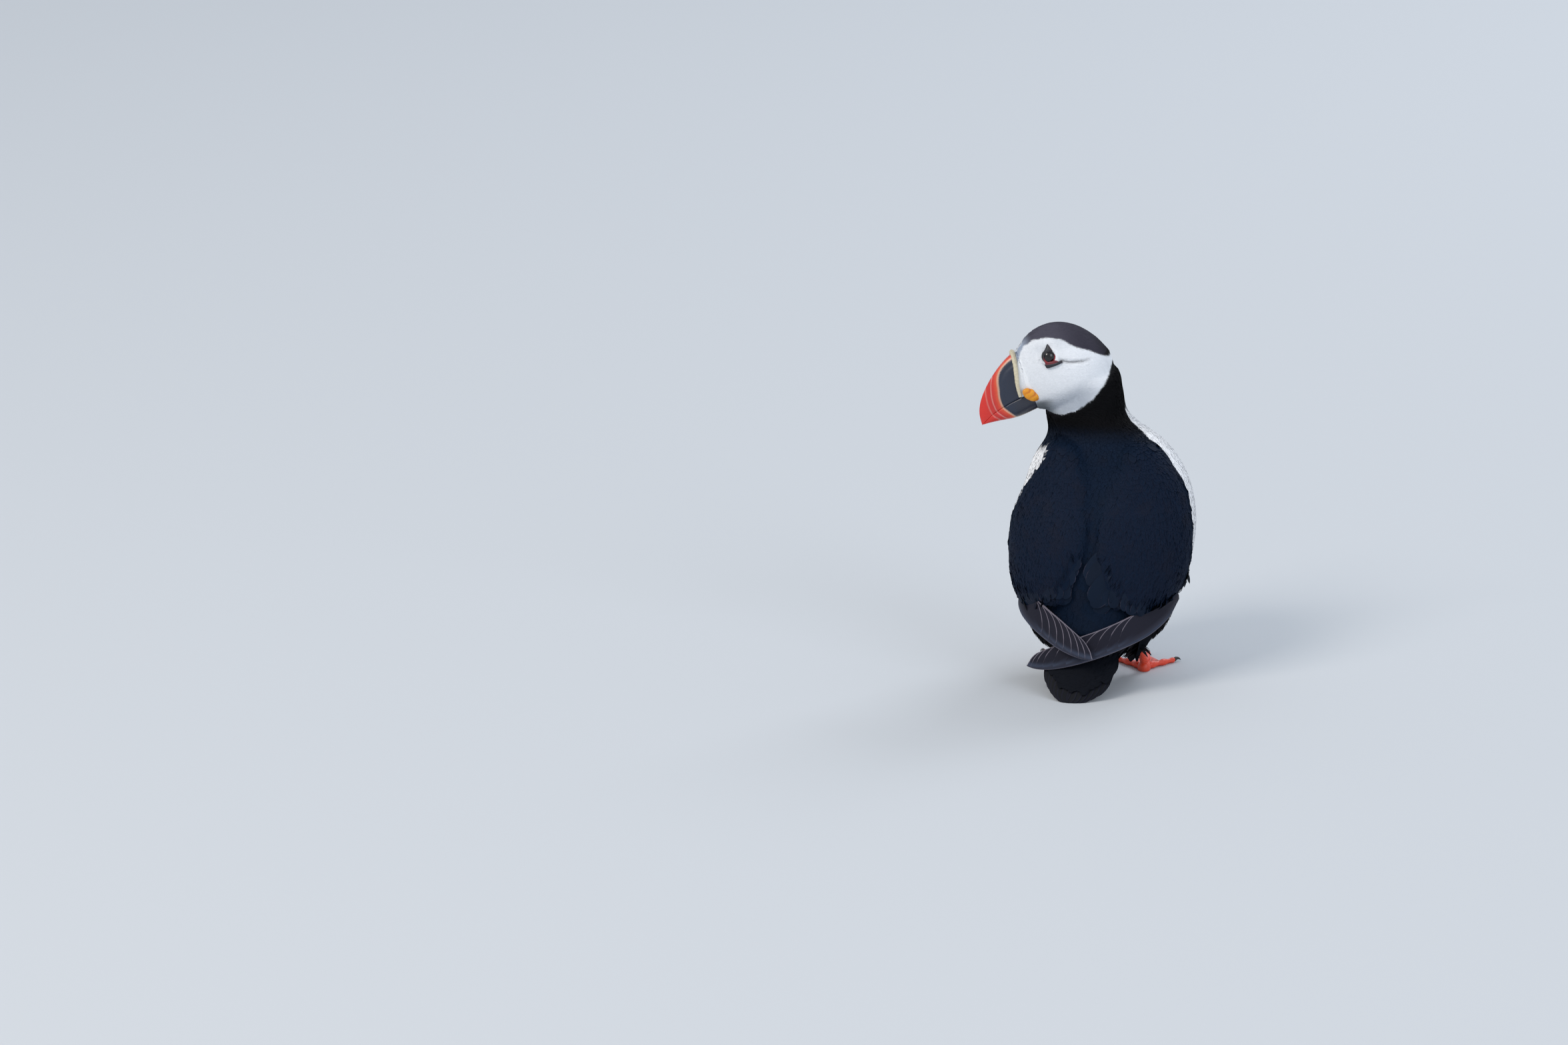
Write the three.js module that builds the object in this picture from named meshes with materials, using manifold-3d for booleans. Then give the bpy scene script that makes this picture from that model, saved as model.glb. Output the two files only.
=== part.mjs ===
// Atlantic puffin, a still life-size model: it stands upright with its back to -Y and its head turned over
// its left shoulder. Millimetres, +Z up, +Y the way the body faces, +X the bird's right.
// Every solid is worked out about a point on the floor between the feet, and the group at the end moves
// the whole bird so that its origin is at the bottom centre of its box.
import * as THREE from "three";
import { mergeVertices } from "three/addons/utils/BufferGeometryUtils.js";
import Module from "manifold-3d";

const wasm = await Module();
wasm.setup();

// ---------------------------------------------------------------- driving sizes

const GAP = 0.3; // clearance between neighbouring solids

// Body stations from the tail root (0) to inside the head (11), evenly spaced along the bird.
// x, y, z: centre; lean: angle of the body's axis above the horizontal, in degrees;
// half: half width; back, front: depth from the centre to the back and to the breast.
const BODY = [
  { x: 0, y: -50, z: 33, lean: 45, half: 15, back: 5, front: 25 },
  { x: -1, y: -40, z: 40, lean: 46, half: 28.5, back: 14, front: 39 },
  { x: -3.2, y: -27, z: 52, lean: 49, half: 43.6, back: 29, front: 44 },
  { x: -1.1, y: -12, z: 70, lean: 53, half: 53, back: 40, front: 55 },
  { x: -0.8, y: 2, z: 91, lean: 58, half: 56.2, back: 43, front: 59 },
  { x: 0.1, y: 11, z: 110, lean: 64, half: 52.8, back: 40, front: 54 },
  { x: -1.2, y: 16, z: 127, lean: 71, half: 46.6, back: 34, front: 46 },
  { x: -3.6, y: 17, z: 142, lean: 79, half: 36.4, back: 28, front: 34 },
  { x: -14.2, y: 15, z: 156, lean: 86, half: 26.5, back: 24, front: 25 },
  { x: -15.8, y: 13, z: 170, lean: 92, half: 24.2, back: 22, front: 22 },
  { x: -15.8, y: 11, z: 183, lean: 96, half: 21.2, back: 21, front: 20 },
  { x: -19, y: 9, z: 191, lean: 97, half: 12, back: 12, front: 11 },
];
const BODY_SQUARENESS = 2.15; // 2 is an ellipse
const NECK_BASE = 7.35; // station where the neck is parted from the trunk

// The head is worked out level, about a point just below the middle of the eyes: x right, y forward, z up.
const HEAD_PLACE = new THREE.Vector3(-37, 4, 191.7);
const HEAD_YAW = 108; // degrees to the bird's left
const HEAD_PITCH = -20; // bill down
const HEAD_ROLL = 0;

// Head stations from the nape to the bill root. y: place; top, low: crown and jowl; wide: height of the
// widest line; half: half width there.
const HEAD = [
  { y: -37, top: -9, low: -19, wide: -14, half: 3 },
  { y: -32, top: 2, low: -26, wide: -13, half: 13 },
  { y: -25, top: 11.2, low: -31, wide: -12.5, half: 18.6 },
  { y: -17, top: 17.3, low: -34.3, wide: -12.5, half: 21 },
  { y: -9, top: 20.2, low: -35.8, wide: -12.5, half: 20.9 },
  { y: -1, top: 20.6, low: -35.6, wide: -12.5, half: 18.8 },
  { y: 7, top: 18.6, low: -33.6, wide: -12.5, half: 15.4 },
  { y: 14, top: 14.6, low: -30, wide: -12, half: 11.8 },
  { y: 20, top: 9.6, low: -26.6, wide: -11, half: 8.6 },
  { y: 24, top: 4, low: -22, wide: -9.5, half: 5.5 },
];
const CROWN_ROUNDNESS = 1.85; // under 2 narrows the crown above the eyes
const JOWL_ROUNDNESS = 2.3; // over 2 fills the cheeks below

const EYE_HEIGHT = 3.8;
const EYE_RADIUS = 4.4;
const EYE_SINK = 3.1; // depth of the eyeball's centre under the face

// Bill, in the head's frame, as (y, z) curves from the root to the tip.
const CULMEN = [
  [17, 10.5], [22.6, 8.6], [28.3, 5.6], [34, 1.8], [39.6, -2.9], [44.5, -8], [48, -13], [50.2, -18.4], [51, -25.2],
];
const MOUTH_LINE = [[17, -15.2], [31, -17.6], [42, -20.6], [50.4, -24.6]];
const GONYS = [[14, -26.8], [25, -27.9], [32, -27.7], [41, -26.2], [48.6, -25.1]];
const BILL_HALF_ROOT = 8.2; // half width at the root of the bill
const BILL_HALF_TIP = 1.5;
const GROOVE_CENTRE = [15, -15]; // the bill's plates end on circles about this point
const GROOVE_RADII = [21, 25.4, 28.6];
const GROOVE_DEPTH = 0.45;

const CERE_PATH = [[23.9, 8.1, -14.8], [23.4, 8.3, -8.2], [21.9, 7.6, -2], [20.2, 5.9, 4.4], [19.3, 3.2, 9.2]];
const CERE_TOP = [19.2, 0, 10.6];
const CERE_RADIUS = 1.5;

const ROSETTE = { y: 17.8, z: -15.6, long: 5.6, short: 3.5, thick: 1.9, turn: 52 };

// Eye plates: the blue-grey horn above the eye and the bar below it.
const PLATE_THICK = 1.5;
const PLATE_UPPER = [[2.4, 7.2], [-3.4, 6.4], [-1.7, 11.4]];
const PLATE_LOWER = [[4.3, 0.3], [3.6, -2.1], [-7, -1.1], [-6.3, 0.6]];

// Wings: patches laid over the body. Each border gives (station, angle from the side towards the back).
const WING_FRONT = {
  right: [[1.2, 25], [2, 0], [2.6, -8], [3.1, 3], [3.6, 12], [4.2, 20], [5.1, 26], [5.75, 33], [7.0, 35]],
  left: [[1.2, 21], [2, -5], [2.6, -7], [3.1, 4], [3.6, 17], [4.2, 28], [5.1, 34], [5.75, 40], [7.0, 42]],
};
const WING_BACK = [[1.2, 60], [2, 78], [2.6, 86.5], [3.3, 87], [4.2, 86], [5.2, 83], [6.2, 76], [7.0, 62]];
const WING_TOP = 6.9;
const WING_FLIGHT_TOP = 2.55; // the coverts end and the secondaries begin
const WING_END = 1.3;
const WING_MERGE = [2.9, 3.9]; // between these stations the inner edges sink level with the back
const WING_THICK = 4.6;
const WING_EDGE = 1.1;
const WING_EMBED = 1.4;

// Folded primaries: centre line, in mm, of each wing's blade. The left wing lies over the right.
const BLADE_RIGHT = [[46, -16, 56], [40, -33, 49], [28, -47, 42], [11, -57.5, 35], [-8, -61, 28],
  [-25, -58, 21.5], [-39, -53, 17]];
const BLADE_LEFT = [[-47, -14, 57], [-44.5, -31, 52], [-35, -47, 47], [-22, -59, 41], [-9, -66, 34.5], [5, -69, 28]];
const BLADE_HALF = 8;
const BLADE_THICK = 1.25; // half thickness
const BLADE_TWIST = 0.55; // under 1 turns the faces of both wing tips to the back

const TAIL = { length: 53, halfRoot: 13, halfEnd: 22, thick: 1.7, dish: 5 };
const TAIL_ROOT = new THREE.Vector3(0, -41, 39);
const TAIL_DROP = 51; // degrees below the horizontal
const TAIL_SWING = 12; // degrees to the bird's left

const THIGH_SIZE = { right: [12, 15, 12.5, 7.2, 3.9], left: [12, 15, 14, 10, 4.2] };
const THIGH = {
  right: [[28, 6, 58], [28, 1, 45], [26, -4, 33], [24, -6, 24], [23.5, -5.5, 19.5]],
  left: [[32, 5, 58], [34, 0, 45], [33, -4, 33], [30, -5, 22], [25.5, -4, 14]],
};
const ANKLE = { x: 23.2, y: -5.5, z: 23 };
const FOOT_JOINT = { x: 24.5, y: 2, z: 4.6 };
const TOES = [
  { name: "inner", turn: -52, length: 23 },
  { name: "middle", turn: -4, length: 30 },
  { name: "outer", turn: 38, length: 25 },
];
const TOE_RADIUS = 2.3;
const WEB_THICK = 1.3;
const CLAW_LENGTH = 4.6;
const CLAW_RISE = [1.7, 2.2, 1.8, 0.7]; // height of the claw's line from root to tip

// ---------------------------------------------------------------- materials

const finish = (hex, roughness) => new THREE.MeshStandardMaterial({ color: hex, roughness, metalness: 0 });
const BLACK_PLUMAGE = finish(0x14161b, 0.85);
const FACE_PLUMAGE = finish(0xdfe3e6, 0.9);
const BILL_RED = finish(0xd8321c, 0.4);
const BILL_PALE = finish(0xdfd9bb, 0.5);
const ROSETTE_YELLOW = finish(0xe39a1c, 0.6);
const EYE_DARK = finish(0x1c1214, 0.1);
const PLATE_GREY = finish(0x3a4450, 0.5);
const LEG_ORANGE = finish(0xe8552a, 0.5);
const CLAW_BLACK = finish(0x1b1a1c, 0.35);

// ---------------------------------------------------------------- shape helpers

const rad = THREE.MathUtils.degToRad;
const { lerp, clamp } = THREE.MathUtils;

// A smooth curve through evenly spaced values, at u from 0 to values.length - 1.
function through(values, u) {
  const last = values.length - 1;
  const i = Math.min(Math.floor(clamp(u, 0, last)), last - 1);
  const t = clamp(u, 0, last) - i;
  const at = (k) => (k < 0 ? 2 * values[0] - values[1]
    : k > last ? 2 * values[last] - values[last - 1] : values[k]);
  const [p0, p1, p2, p3] = [at(i - 1), at(i), at(i + 1), at(i + 2)];
  return p1 + 0.5 * t * (p2 - p0 + t * (2 * p0 - 5 * p1 + 4 * p2 - p3 + t * (3 * (p1 - p2) + p3 - p0)));
}

const field = (rows, name, u) => through(rows.map((row) => row[name]), u);
const signedPower = (v, p) => Math.sign(v) * Math.abs(v) ** p;

// The station of a border at a given row, from its list of (station, value) pairs.
function border(pairs, station) {
  for (let i = 1; i < pairs.length; i++) {
    if (station <= pairs[i][0] || i === pairs.length - 1) {
      const t = clamp((station - pairs[i - 1][0]) / (pairs[i][0] - pairs[i - 1][0]), 0, 1);
      return lerp(pairs[i - 1][1], pairs[i][1], t * t * (3 - 2 * t) * 0.5 + t * 0.5);
    }
  }
  return pairs[0][1];
}

// A closed surface from rings of points. Each end is a fan about its middle, or, for a folded ring whose
// second half comes back along the first, a strip between the two halves.
function ringSurface(rings, folded = false) {
  const count = rings[0].length;
  const points = rings.flat();
  const index = [];
  for (let i = 0; i < rings.length - 1; i++) {
    for (let k = 0; k < count; k++) {
      const [a, b] = [i * count + k, i * count + ((k + 1) % count)];
      index.push(a, b, a + count, b, b + count, a + count);
    }
  }
  for (const [start, flip] of [[0, false], [(rings.length - 1) * count, true]]) {
    const triangle = (a, b, c) => (flip ? index.push(start + a, start + b, start + c)
      : index.push(start + b, start + a, start + c));
    if (folded) {
      for (let k = 0; k < count / 2 - 1; k++) {
        triangle(k, k + 1, count - 1 - k);
        triangle(k + 1, count - 2 - k, count - 1 - k);
      }
    } else {
      const pole = rings[start / count].reduce((sum, p) => sum.add(p), new THREE.Vector3());
      points.push(pole.divideScalar(count));
      for (let k = 0; k < count; k++) triangle(k, (k + 1) % count, points.length - 1 - start);
    }
  }
  return new THREE.BufferGeometry().setFromPoints(points).setIndex(index);
}

// A three.js geometry as a solid that booleans can cut. One that faces inwards is turned round.
function solidOf(geometry) {
  const bare = geometry.clone();
  bare.deleteAttribute("normal");
  bare.deleteAttribute("uv");
  const merged = mergeVertices(bare, 1e-4);
  const make = (triVerts) => new wasm.Manifold(
    new wasm.Mesh({ numProp: 3, vertProperties: merged.attributes.position.array, triVerts }),
  );
  const made = make(new Uint32Array(merged.index.array));
  if (made.volume() > 0) return made;
  const turned = new Uint32Array(merged.index.array);
  for (let i = 0; i < turned.length; i += 3) [turned[i], turned[i + 1]] = [turned[i + 1], turned[i]];
  return make(turned);
}

// The largest piece of a cut solid, so that no crumb is left beside it.
function largest(solid) {
  return solid.decompose().reduce((best, piece) => (piece.volume() > best.volume() ? piece : best));
}

const cut = (solid, ...others) => largest(others.reduce((left, other) => left.subtract(other), solid));

function meshOf(name, solid, material) {
  const { numProp, vertProperties, triVerts } = solid.getMesh();
  const points = [];
  for (let i = 0; i < vertProperties.length; i += numProp) {
    points.push(new THREE.Vector3(vertProperties[i], vertProperties[i + 1], vertProperties[i + 2]));
  }
  const geometry = new THREE.BufferGeometry().setFromPoints(points).setIndex([...triVerts]);
  geometry.computeVertexNormals();
  const mesh = new THREE.Mesh(geometry, material);
  mesh.name = name;
  return mesh;
}

const moved = (solid, matrix) => solid.transform(matrix.elements);

// Ellipse-like ring about a centre, in the plane of two unit directions.
function ringAbout(centre, side, up, { half, above, below, square, count }) {
  return Array.from({ length: count }, (_, k) => {
    const angle = (2 * Math.PI * k) / count;
    const [c, s] = [Math.cos(angle), Math.sin(angle)];
    return centre.clone()
      .addScaledVector(side, half * signedPower(c, 2 / square))
      .addScaledVector(up, (s > 0 ? above : below) * signedPower(s, 2 / square));
  });
}

// A tapering limb or blade along a smooth path. width and thick give the half sizes at t from 0 to 1,
// and flat is the direction that the blade's face looks in.
function limb(path, { width, thick, flat, grow = 0, steps = 12, count = 10 }) {
  const curve = new THREE.CatmullRomCurve3(path);
  const rings = [];
  for (let i = 0; i <= steps; i++) {
    const t = i / steps;
    const centre = curve.getPoint(t);
    const along = curve.getTangent(t);
    const out = flat(t, centre).clone();
    out.addScaledVector(along, -out.dot(along)).normalize();
    const side = new THREE.Vector3().crossVectors(along, out);
    const depth = thick(t) + grow;
    rings.push(ringAbout(centre, side, out, {
      half: width(t) + grow, above: depth, below: depth, square: 2, count,
    }));
  }
  return solidOf(ringSurface(rings));
}

// Everything below the floor.
function floorSolid() {
  const floor = new THREE.BoxGeometry(300, 300, 40);
  floor.translate(0, 0, -20);
  return solidOf(floor);
}

// ---------------------------------------------------------------- trunk and neck

const BODY_RINGS = 18;
const BODY_COUNT = 24;

// A point of the body at a station and an angle (0 the right side, 90 the back), and its outward normal.
function bodyPoint(station, degrees) {
  const at = (name) => field(BODY, name, station);
  const lean = rad(at("lean"));
  const [c, s] = [Math.cos(rad(degrees)), Math.sin(rad(degrees))];
  const across = at("half") * signedPower(c, 2 / BODY_SQUARENESS);
  const depth = (s > 0 ? at("back") : at("front")) * signedPower(s, 2 / BODY_SQUARENESS);
  return new THREE.Vector3(
    at("x") + across, at("y") - depth * Math.sin(lean), at("z") + depth * Math.cos(lean),
  );
}

function bodyNormal(station, degrees) {
  const along = bodyPoint(station + 0.05, degrees).sub(bodyPoint(station - 0.05, degrees));
  const round = bodyPoint(station, degrees + 1).sub(bodyPoint(station, degrees - 1));
  return along.cross(round).normalize();
}

function bodySolid(grow = 0) {
  const rings = [];
  for (let i = 0; i <= BODY_RINGS; i++) {
    const station = (i / BODY_RINGS) * (BODY.length - 1);
    rings.push(Array.from({ length: BODY_COUNT }, (_, k) => {
      const degrees = (360 * k) / BODY_COUNT;
      const point = bodyPoint(station, degrees);
      return grow ? point.addScaledVector(bodyNormal(station, degrees), grow) : point;
    }));
  }
  return solidOf(ringSurface(rings));
}

// A slab across the body at a station, wide enough to part it; thick 0 gives everything above it.
function slabAt(station, height, offset) {
  const lean = rad(field(BODY, "lean", station));
  const box = new THREE.BoxGeometry(240, height, 240);
  box.translate(0, offset, 0);
  box.rotateX(lean);
  box.translate(field(BODY, "x", station), field(BODY, "y", station), field(BODY, "z", station));
  return solidOf(box);
}

// ---------------------------------------------------------------- head

const HEAD_RINGS = 12;
const HEAD_COUNT = 18;

function headRing(u, grow) {
  const at = (name) => field(HEAD, name, u);
  return Array.from({ length: HEAD_COUNT }, (_, k) => {
    const angle = (2 * Math.PI * k) / HEAD_COUNT;
    const [c, s] = [Math.cos(angle), Math.sin(angle)];
    const round = s > 0 ? CROWN_ROUNDNESS : JOWL_ROUNDNESS;
    const reach = s > 0 ? at("top") - at("wide") : at("wide") - at("low");
    return new THREE.Vector3(
      (at("half") + grow) * signedPower(c, 2 / round), at("y"),
      at("wide") + (reach + grow) * signedPower(s, 2 / round),
    );
  });
}

function headSolid(grow = 0) {
  const rings = [];
  for (let i = 0; i <= HEAD_RINGS; i++) rings.push(headRing((i / HEAD_RINGS) * (HEAD.length - 1), grow));
  return solidOf(ringSurface(rings));
}

// Half width of the head at a place (y, z) of its own frame.
function headHalf(y, z) {
  let u = 0;
  while (u < HEAD.length - 1 && field(HEAD, "y", u) < y) u += 0.02;
  const wide = field(HEAD, "wide", u);
  const reach = z > wide ? field(HEAD, "top", u) - wide : wide - field(HEAD, "low", u);
  const round = z > wide ? CROWN_ROUNDNESS : JOWL_ROUNDNESS;
  const share = clamp(Math.abs(z - wide) / reach, 0, 1);
  return field(HEAD, "half", u) * (1 - share ** round) ** (1 / round);
}

// ---------------------------------------------------------------- bill

const BILL_STEPS = 11;
const BILL_ROWS = 5;

const curveAt = (pairs, t) => [0, 1].map((k) => through(pairs.map((p) => p[k]), t * (pairs.length - 1)));

// Half width of the bill at (y, z): it narrows from root to tip, and a shallow groove runs along each
// circle in GROOVE_RADII.
function billHalf(y, z, share) {
  const tip = Math.max(...CULMEN.map((p) => p[0]));
  const t = clamp((y - CULMEN[0][0]) / (tip - CULMEN[0][0]), 0, 1);
  const radius = Math.hypot(y - GROOVE_CENTRE[0], z - GROOVE_CENTRE[1]);
  const groove = GROOVE_RADII.reduce(
    (deepest, r) => Math.max(deepest, GROOVE_DEPTH * Math.exp(-(((radius - r) / 0.7) ** 2))), 0,
  );
  return Math.max(lerp(BILL_HALF_ROOT, BILL_HALF_TIP, t ** 0.9) * share - groove * share, 0.25);
}

// One half of the bill between an outer edge (culmen or gonys) and the mouth line.
function mandible(outer, { grow = 0, drop = 0, blunt = 0.5 }) {
  const rings = [];
  for (let i = 0; i <= BILL_STEPS; i++) {
    const t = i / BILL_STEPS;
    const [edgeY, edgeZ] = curveAt(outer, t);
    const [lineY, lineZ] = curveAt(MOUTH_LINE, t);
    const side = Math.sign(edgeZ - (lineZ + drop)) || 1;
    const shift = grow * lerp(-3, 1.5, t);
    const right = [];
    for (let j = 0; j <= BILL_ROWS; j++) {
      const q = j / BILL_ROWS;
      const y = lerp(edgeY, lineY, q) + shift;
      const z = lerp(edgeZ + side * grow, lineZ + drop, q);
      const share = Math.sin((Math.PI / 2) * Math.min(1, q * 1.25 + 0.02)) ** blunt;
      right.push(new THREE.Vector3(billHalf(y, z, share) + grow, y, z));
    }
    const left = right.slice().reverse().map((p) => new THREE.Vector3(-p.x, p.y, p.z));
    rings.push([...right, ...left]);
  }
  return solidOf(ringSurface(rings, true));
}

const upperBill = (grow = 0) => mandible(CULMEN, { grow, drop: GAP / 2 - grow });
const lowerBill = (grow = 0) => mandible(GONYS, { grow, drop: -GAP / 2 + grow, blunt: 0.4 });

function cereSolid(grow = 0) {
  const right = CERE_PATH.map(([y, x, z]) => new THREE.Vector3(x, y, z));
  const left = right.map((p) => new THREE.Vector3(-p.x, p.y, p.z)).reverse();
  const path = [...right, new THREE.Vector3(CERE_TOP[1], CERE_TOP[0], CERE_TOP[2]), ...left];
  const size = (t) => CERE_RADIUS * (0.45 + 0.55 * Math.sin(Math.PI * clamp(t, 0.08, 0.92)) ** 0.5);
  return limb(path, {
    width: size, thick: size, flat: () => new THREE.Vector3(0, 1, 0), grow, steps: 14, count: 6,
  });
}

// An ellipsoid lying on the side of the face; side is 1 on the right and -1 on the left.
function rosetteSolid(side, grow = 0) {
  const ball = new THREE.SphereGeometry(1, 10, 6);
  ball.scale(ROSETTE.thick + grow, ROSETTE.long + grow, ROSETTE.short + grow);
  ball.rotateX(rad(ROSETTE.turn));
  ball.translate(side * (headHalf(ROSETTE.y, ROSETTE.z) - 0.2), ROSETTE.y, ROSETTE.z);
  return solidOf(ball);
}

function eyeSolid(side, grow = 0) {
  const ball = new THREE.SphereGeometry(EYE_RADIUS + grow, 12, 8);
  ball.translate(side * (headHalf(0, EYE_HEIGHT) - EYE_SINK), 0, EYE_HEIGHT);
  return solidOf(ball);
}

// A convex outline moved outwards by grow, each edge kept parallel to itself.
function grownOutline(outline, grow) {
  const points = outline.map(([y, z]) => new THREE.Vector2(y, z));
  const turn = Math.sign(THREE.ShapeUtils.area(points));
  const outward = (k) => {
    const edge = points[(k + 1) % points.length].clone().sub(points[k]).normalize();
    return new THREE.Vector2(turn * edge.y, -turn * edge.x);
  };
  return points.map((point, k) => {
    const [a, b] = [outward((k + points.length - 1) % points.length), outward(k)];
    const step = grow / (1 + a.dot(b));
    return point.clone().addScaledVector(a, step).addScaledVector(b, step);
  });
}

// A small horn plate on the face, extruded from its outline along the side of the head.
function plateSolid(outline, side, grow = 0) {
  const middle = [0, 1].map((k) => outline.reduce((sum, p) => sum + p[k], 0) / outline.length);
  const deep = 4 + grow;
  const plate = new THREE.ExtrudeGeometry(new THREE.Shape(grownOutline(outline, grow)), {
    depth: deep + PLATE_THICK * 0.5 + grow, bevelEnabled: false,
  });
  // The outline's own axes (y, z) become the head's, and the depth runs outwards along x.
  plate.applyMatrix4(new THREE.Matrix4().makeBasis(
    new THREE.Vector3(0, 1, 0), new THREE.Vector3(0, 0, 1), new THREE.Vector3(1, 0, 0),
  ));
  plate.translate(headHalf(middle[0], middle[1]) - deep, 0, 0);
  if (side < 0) plate.applyMatrix4(new THREE.Matrix4().makeScale(-1, 1, 1));
  return solidOf(plate);
}

// ---------------------------------------------------------------- wings and tail

const WING_ACROSS = 7;

// The patch of one wing between two stations, laid over the body's surface.
function wingPatch(side, low, high, { grow = 0, steps }) {
  const outside = [];
  const inside = [];
  for (let i = 0; i <= steps; i++) {
    const t = i / steps;
    const row = lerp(low, high, t);
    const station = row + (t - 0.5) * grow * 0.15;
    const front = border(side > 0 ? WING_FRONT.right : WING_FRONT.left, row) - grow * 2.2;
    const back = border(WING_BACK, row) + grow * 1.5;
    const fade = Math.sin(Math.PI * clamp((WING_TOP + 0.25 - station) / 2.4, 0, 0.5));
    const merge = THREE.MathUtils.smoothstep(station, ...WING_MERGE);
    const rows = [[], []];
    for (let j = 0; j <= WING_ACROSS; j++) {
      const q = j / WING_ACROSS;
      const across = lerp(front, back, q);
      const degrees = side > 0 ? across : 180 - across;
      const bulge = Math.sin(Math.PI * (0.12 + (0.8 + 0.08 * merge) * q)) ** 0.7;
      const edge = WING_EDGE * (1 - merge * q);
      const height = edge + (WING_THICK - edge) * bulge * fade;
      const point = bodyPoint(station, degrees);
      const normal = bodyNormal(station, degrees);
      rows[0].push(point.clone().addScaledVector(normal, height + grow));
      rows[1].push(point.clone().addScaledVector(normal, -WING_EMBED - grow));
    }
    outside.push(rows[0]);
    inside.push(rows[1]);
  }
  const rings = outside.map((row, i) => [...row, ...inside[i].slice().reverse()]);
  return solidOf(ringSurface(rings, true));
}

function bladeSolid(path, grow = 0) {
  const axis = new THREE.Vector3(0, -14, 52);
  return limb(path.map((p) => new THREE.Vector3(...p)), {
    width: (t) => BLADE_HALF * Math.min(1, 0.7 + t) * Math.sqrt(Math.max(0.02, 1 - clamp((t - 0.55) / 0.47, 0, 1) ** 2)),
    thick: (t) => BLADE_THICK * (t > 0.9 ? 0.75 : 1),
    flat: (t, centre) => new THREE.Vector3((centre.x - axis.x) * BLADE_TWIST, centre.y - axis.y, lerp(4, 10, t)),
    grow, steps: 10, count: 8,
  });
}

// The tail: a dished fan with a round end, pressed flat where it meets the floor.
function tailSolid() {
  const rings = [];
  const steps = 5;
  const across = 12;
  for (let j = 0; j <= across; j++) {
    const q = (j / across) * 2 - 1;
    const reach = TAIL.length * (1 - 0.36 * q * q);
    const ring = [];
    for (const face of [1, -1]) {
      for (let i = 0; i <= steps; i++) {
        const t = face > 0 ? i / steps : 1 - i / steps;
        const half = lerp(TAIL.halfRoot, TAIL.halfEnd, Math.sin((Math.PI / 2) * Math.min(1, t * 1.15)));
        const edge = Math.max(0.3, Math.sqrt(Math.max(0, 1 - q ** 6)));
        const thick = TAIL.thick * lerp(1.9, 0.5, t) * edge;
        const dish = -TAIL.dish * q * q * lerp(1.2, 0.8, t);
        ring.push(new THREE.Vector3(q * half, reach * t, dish + face * thick));
      }
    }
    rings.push(ring);
  }
  const geometry = ringSurface(rings, true);
  // Along the tail becomes down and back, and its upper face looks back and up.
  const drop = rad(TAIL_DROP);
  const along = new THREE.Vector3(0, -Math.cos(drop), -Math.sin(drop));
  const out = new THREE.Vector3(0, -Math.sin(drop), Math.cos(drop));
  geometry.rotateZ(rad(TAIL_SWING));
  geometry.applyMatrix4(new THREE.Matrix4().makeBasis(new THREE.Vector3(1, 0, 0), along, out));
  geometry.translate(TAIL_ROOT.x, TAIL_ROOT.y, TAIL_ROOT.z);
  return solidOf(geometry).subtract(floorSolid());
}

// ---------------------------------------------------------------- legs and feet

function thighSolid(side, grow = 0) {
  const path = THIGH[side > 0 ? "right" : "left"];
  const size = (t) => through(THIGH_SIZE[side > 0 ? "right" : "left"], t * 4);
  return limb(path.map(([x, y, z]) => new THREE.Vector3(side * x, y, z)), {
    width: size, thick: (t) => size(t) * 1.12, flat: () => new THREE.Vector3(0, 1, 0), grow, steps: 9, count: 12,
  });
}

function tarsusSolid(side, grow = 0) {
  const path = [[ANKLE.x, ANKLE.y + 0.6, ANKLE.z + 5], [ANKLE.x, ANKLE.y, ANKLE.z - 2],
    [23.6, -3.2, 13], [FOOT_JOINT.x, FOOT_JOINT.y - 0.6, 6], [FOOT_JOINT.x, FOOT_JOINT.y + 1, 2.2]];
  const size = (t) => through([2.6, 3.1, 2.1, 2.7, 2.2], t * 4);
  return limb(path.map(([x, y, z]) => new THREE.Vector3(side * x, y, z)), {
    width: size, thick: (t) => size(t) * 1.25, flat: () => new THREE.Vector3(0, 1, 0), grow, steps: 8, count: 10,
  });
}

// Where a toe's point lies: t runs from the foot joint (0) to the toe's tip (1).
function toePoint(side, toe, t) {
  const turn = rad(toe.turn);
  const reach = t * toe.length;
  return new THREE.Vector3(
    side * (FOOT_JOINT.x + reach * Math.sin(turn)), FOOT_JOINT.y + reach * Math.cos(turn), lerp(2.3, 1.6, t),
  );
}

const toeRadius = (t) => TOE_RADIUS * (0.78 + 0.16 * Math.cos(6 * Math.PI * t)) * lerp(1.12, 0.82, t);

function footSolid(side) {
  const [inner, middle, outer] = TOES.map((toe) => toePoint(side, toe, 0.97));
  const heel = toePoint(side, TOES[1], -0.1);
  const web = new THREE.Shape();
  web.moveTo(heel.x, heel.y);
  web.lineTo(inner.x, inner.y);
  const sag = (a, b) => a.clone().add(b).multiplyScalar(0.5).lerp(heel, 0.17);
  const [first, second] = [sag(inner, middle), sag(middle, outer)];
  web.quadraticCurveTo(first.x, first.y, middle.x, middle.y);
  web.quadraticCurveTo(second.x, second.y, outer.x, outer.y);
  web.closePath();
  const sheet = new THREE.ExtrudeGeometry(web, { depth: WEB_THICK, bevelEnabled: false, curveSegments: 4 });
  let foot = solidOf(sheet);
  for (const toe of TOES) {
    const path = [-0.1, 0.2, 0.5, 0.8, 1].map((t) => toePoint(side, toe, t));
    foot = foot.add(limb(path, {
      width: (t) => toeRadius(t), thick: (t) => toeRadius(t) * 1.05, flat: () => new THREE.Vector3(0, 0, 1),
      steps: 5, count: 6,
    }));
  }
  const pad = new THREE.SphereGeometry(1, 8, 5);
  pad.scale(4, 4.6, 4.2);
  pad.translate(side * FOOT_JOINT.x, FOOT_JOINT.y, 2);
  return foot.add(solidOf(pad)).subtract(floorSolid());
}

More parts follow.
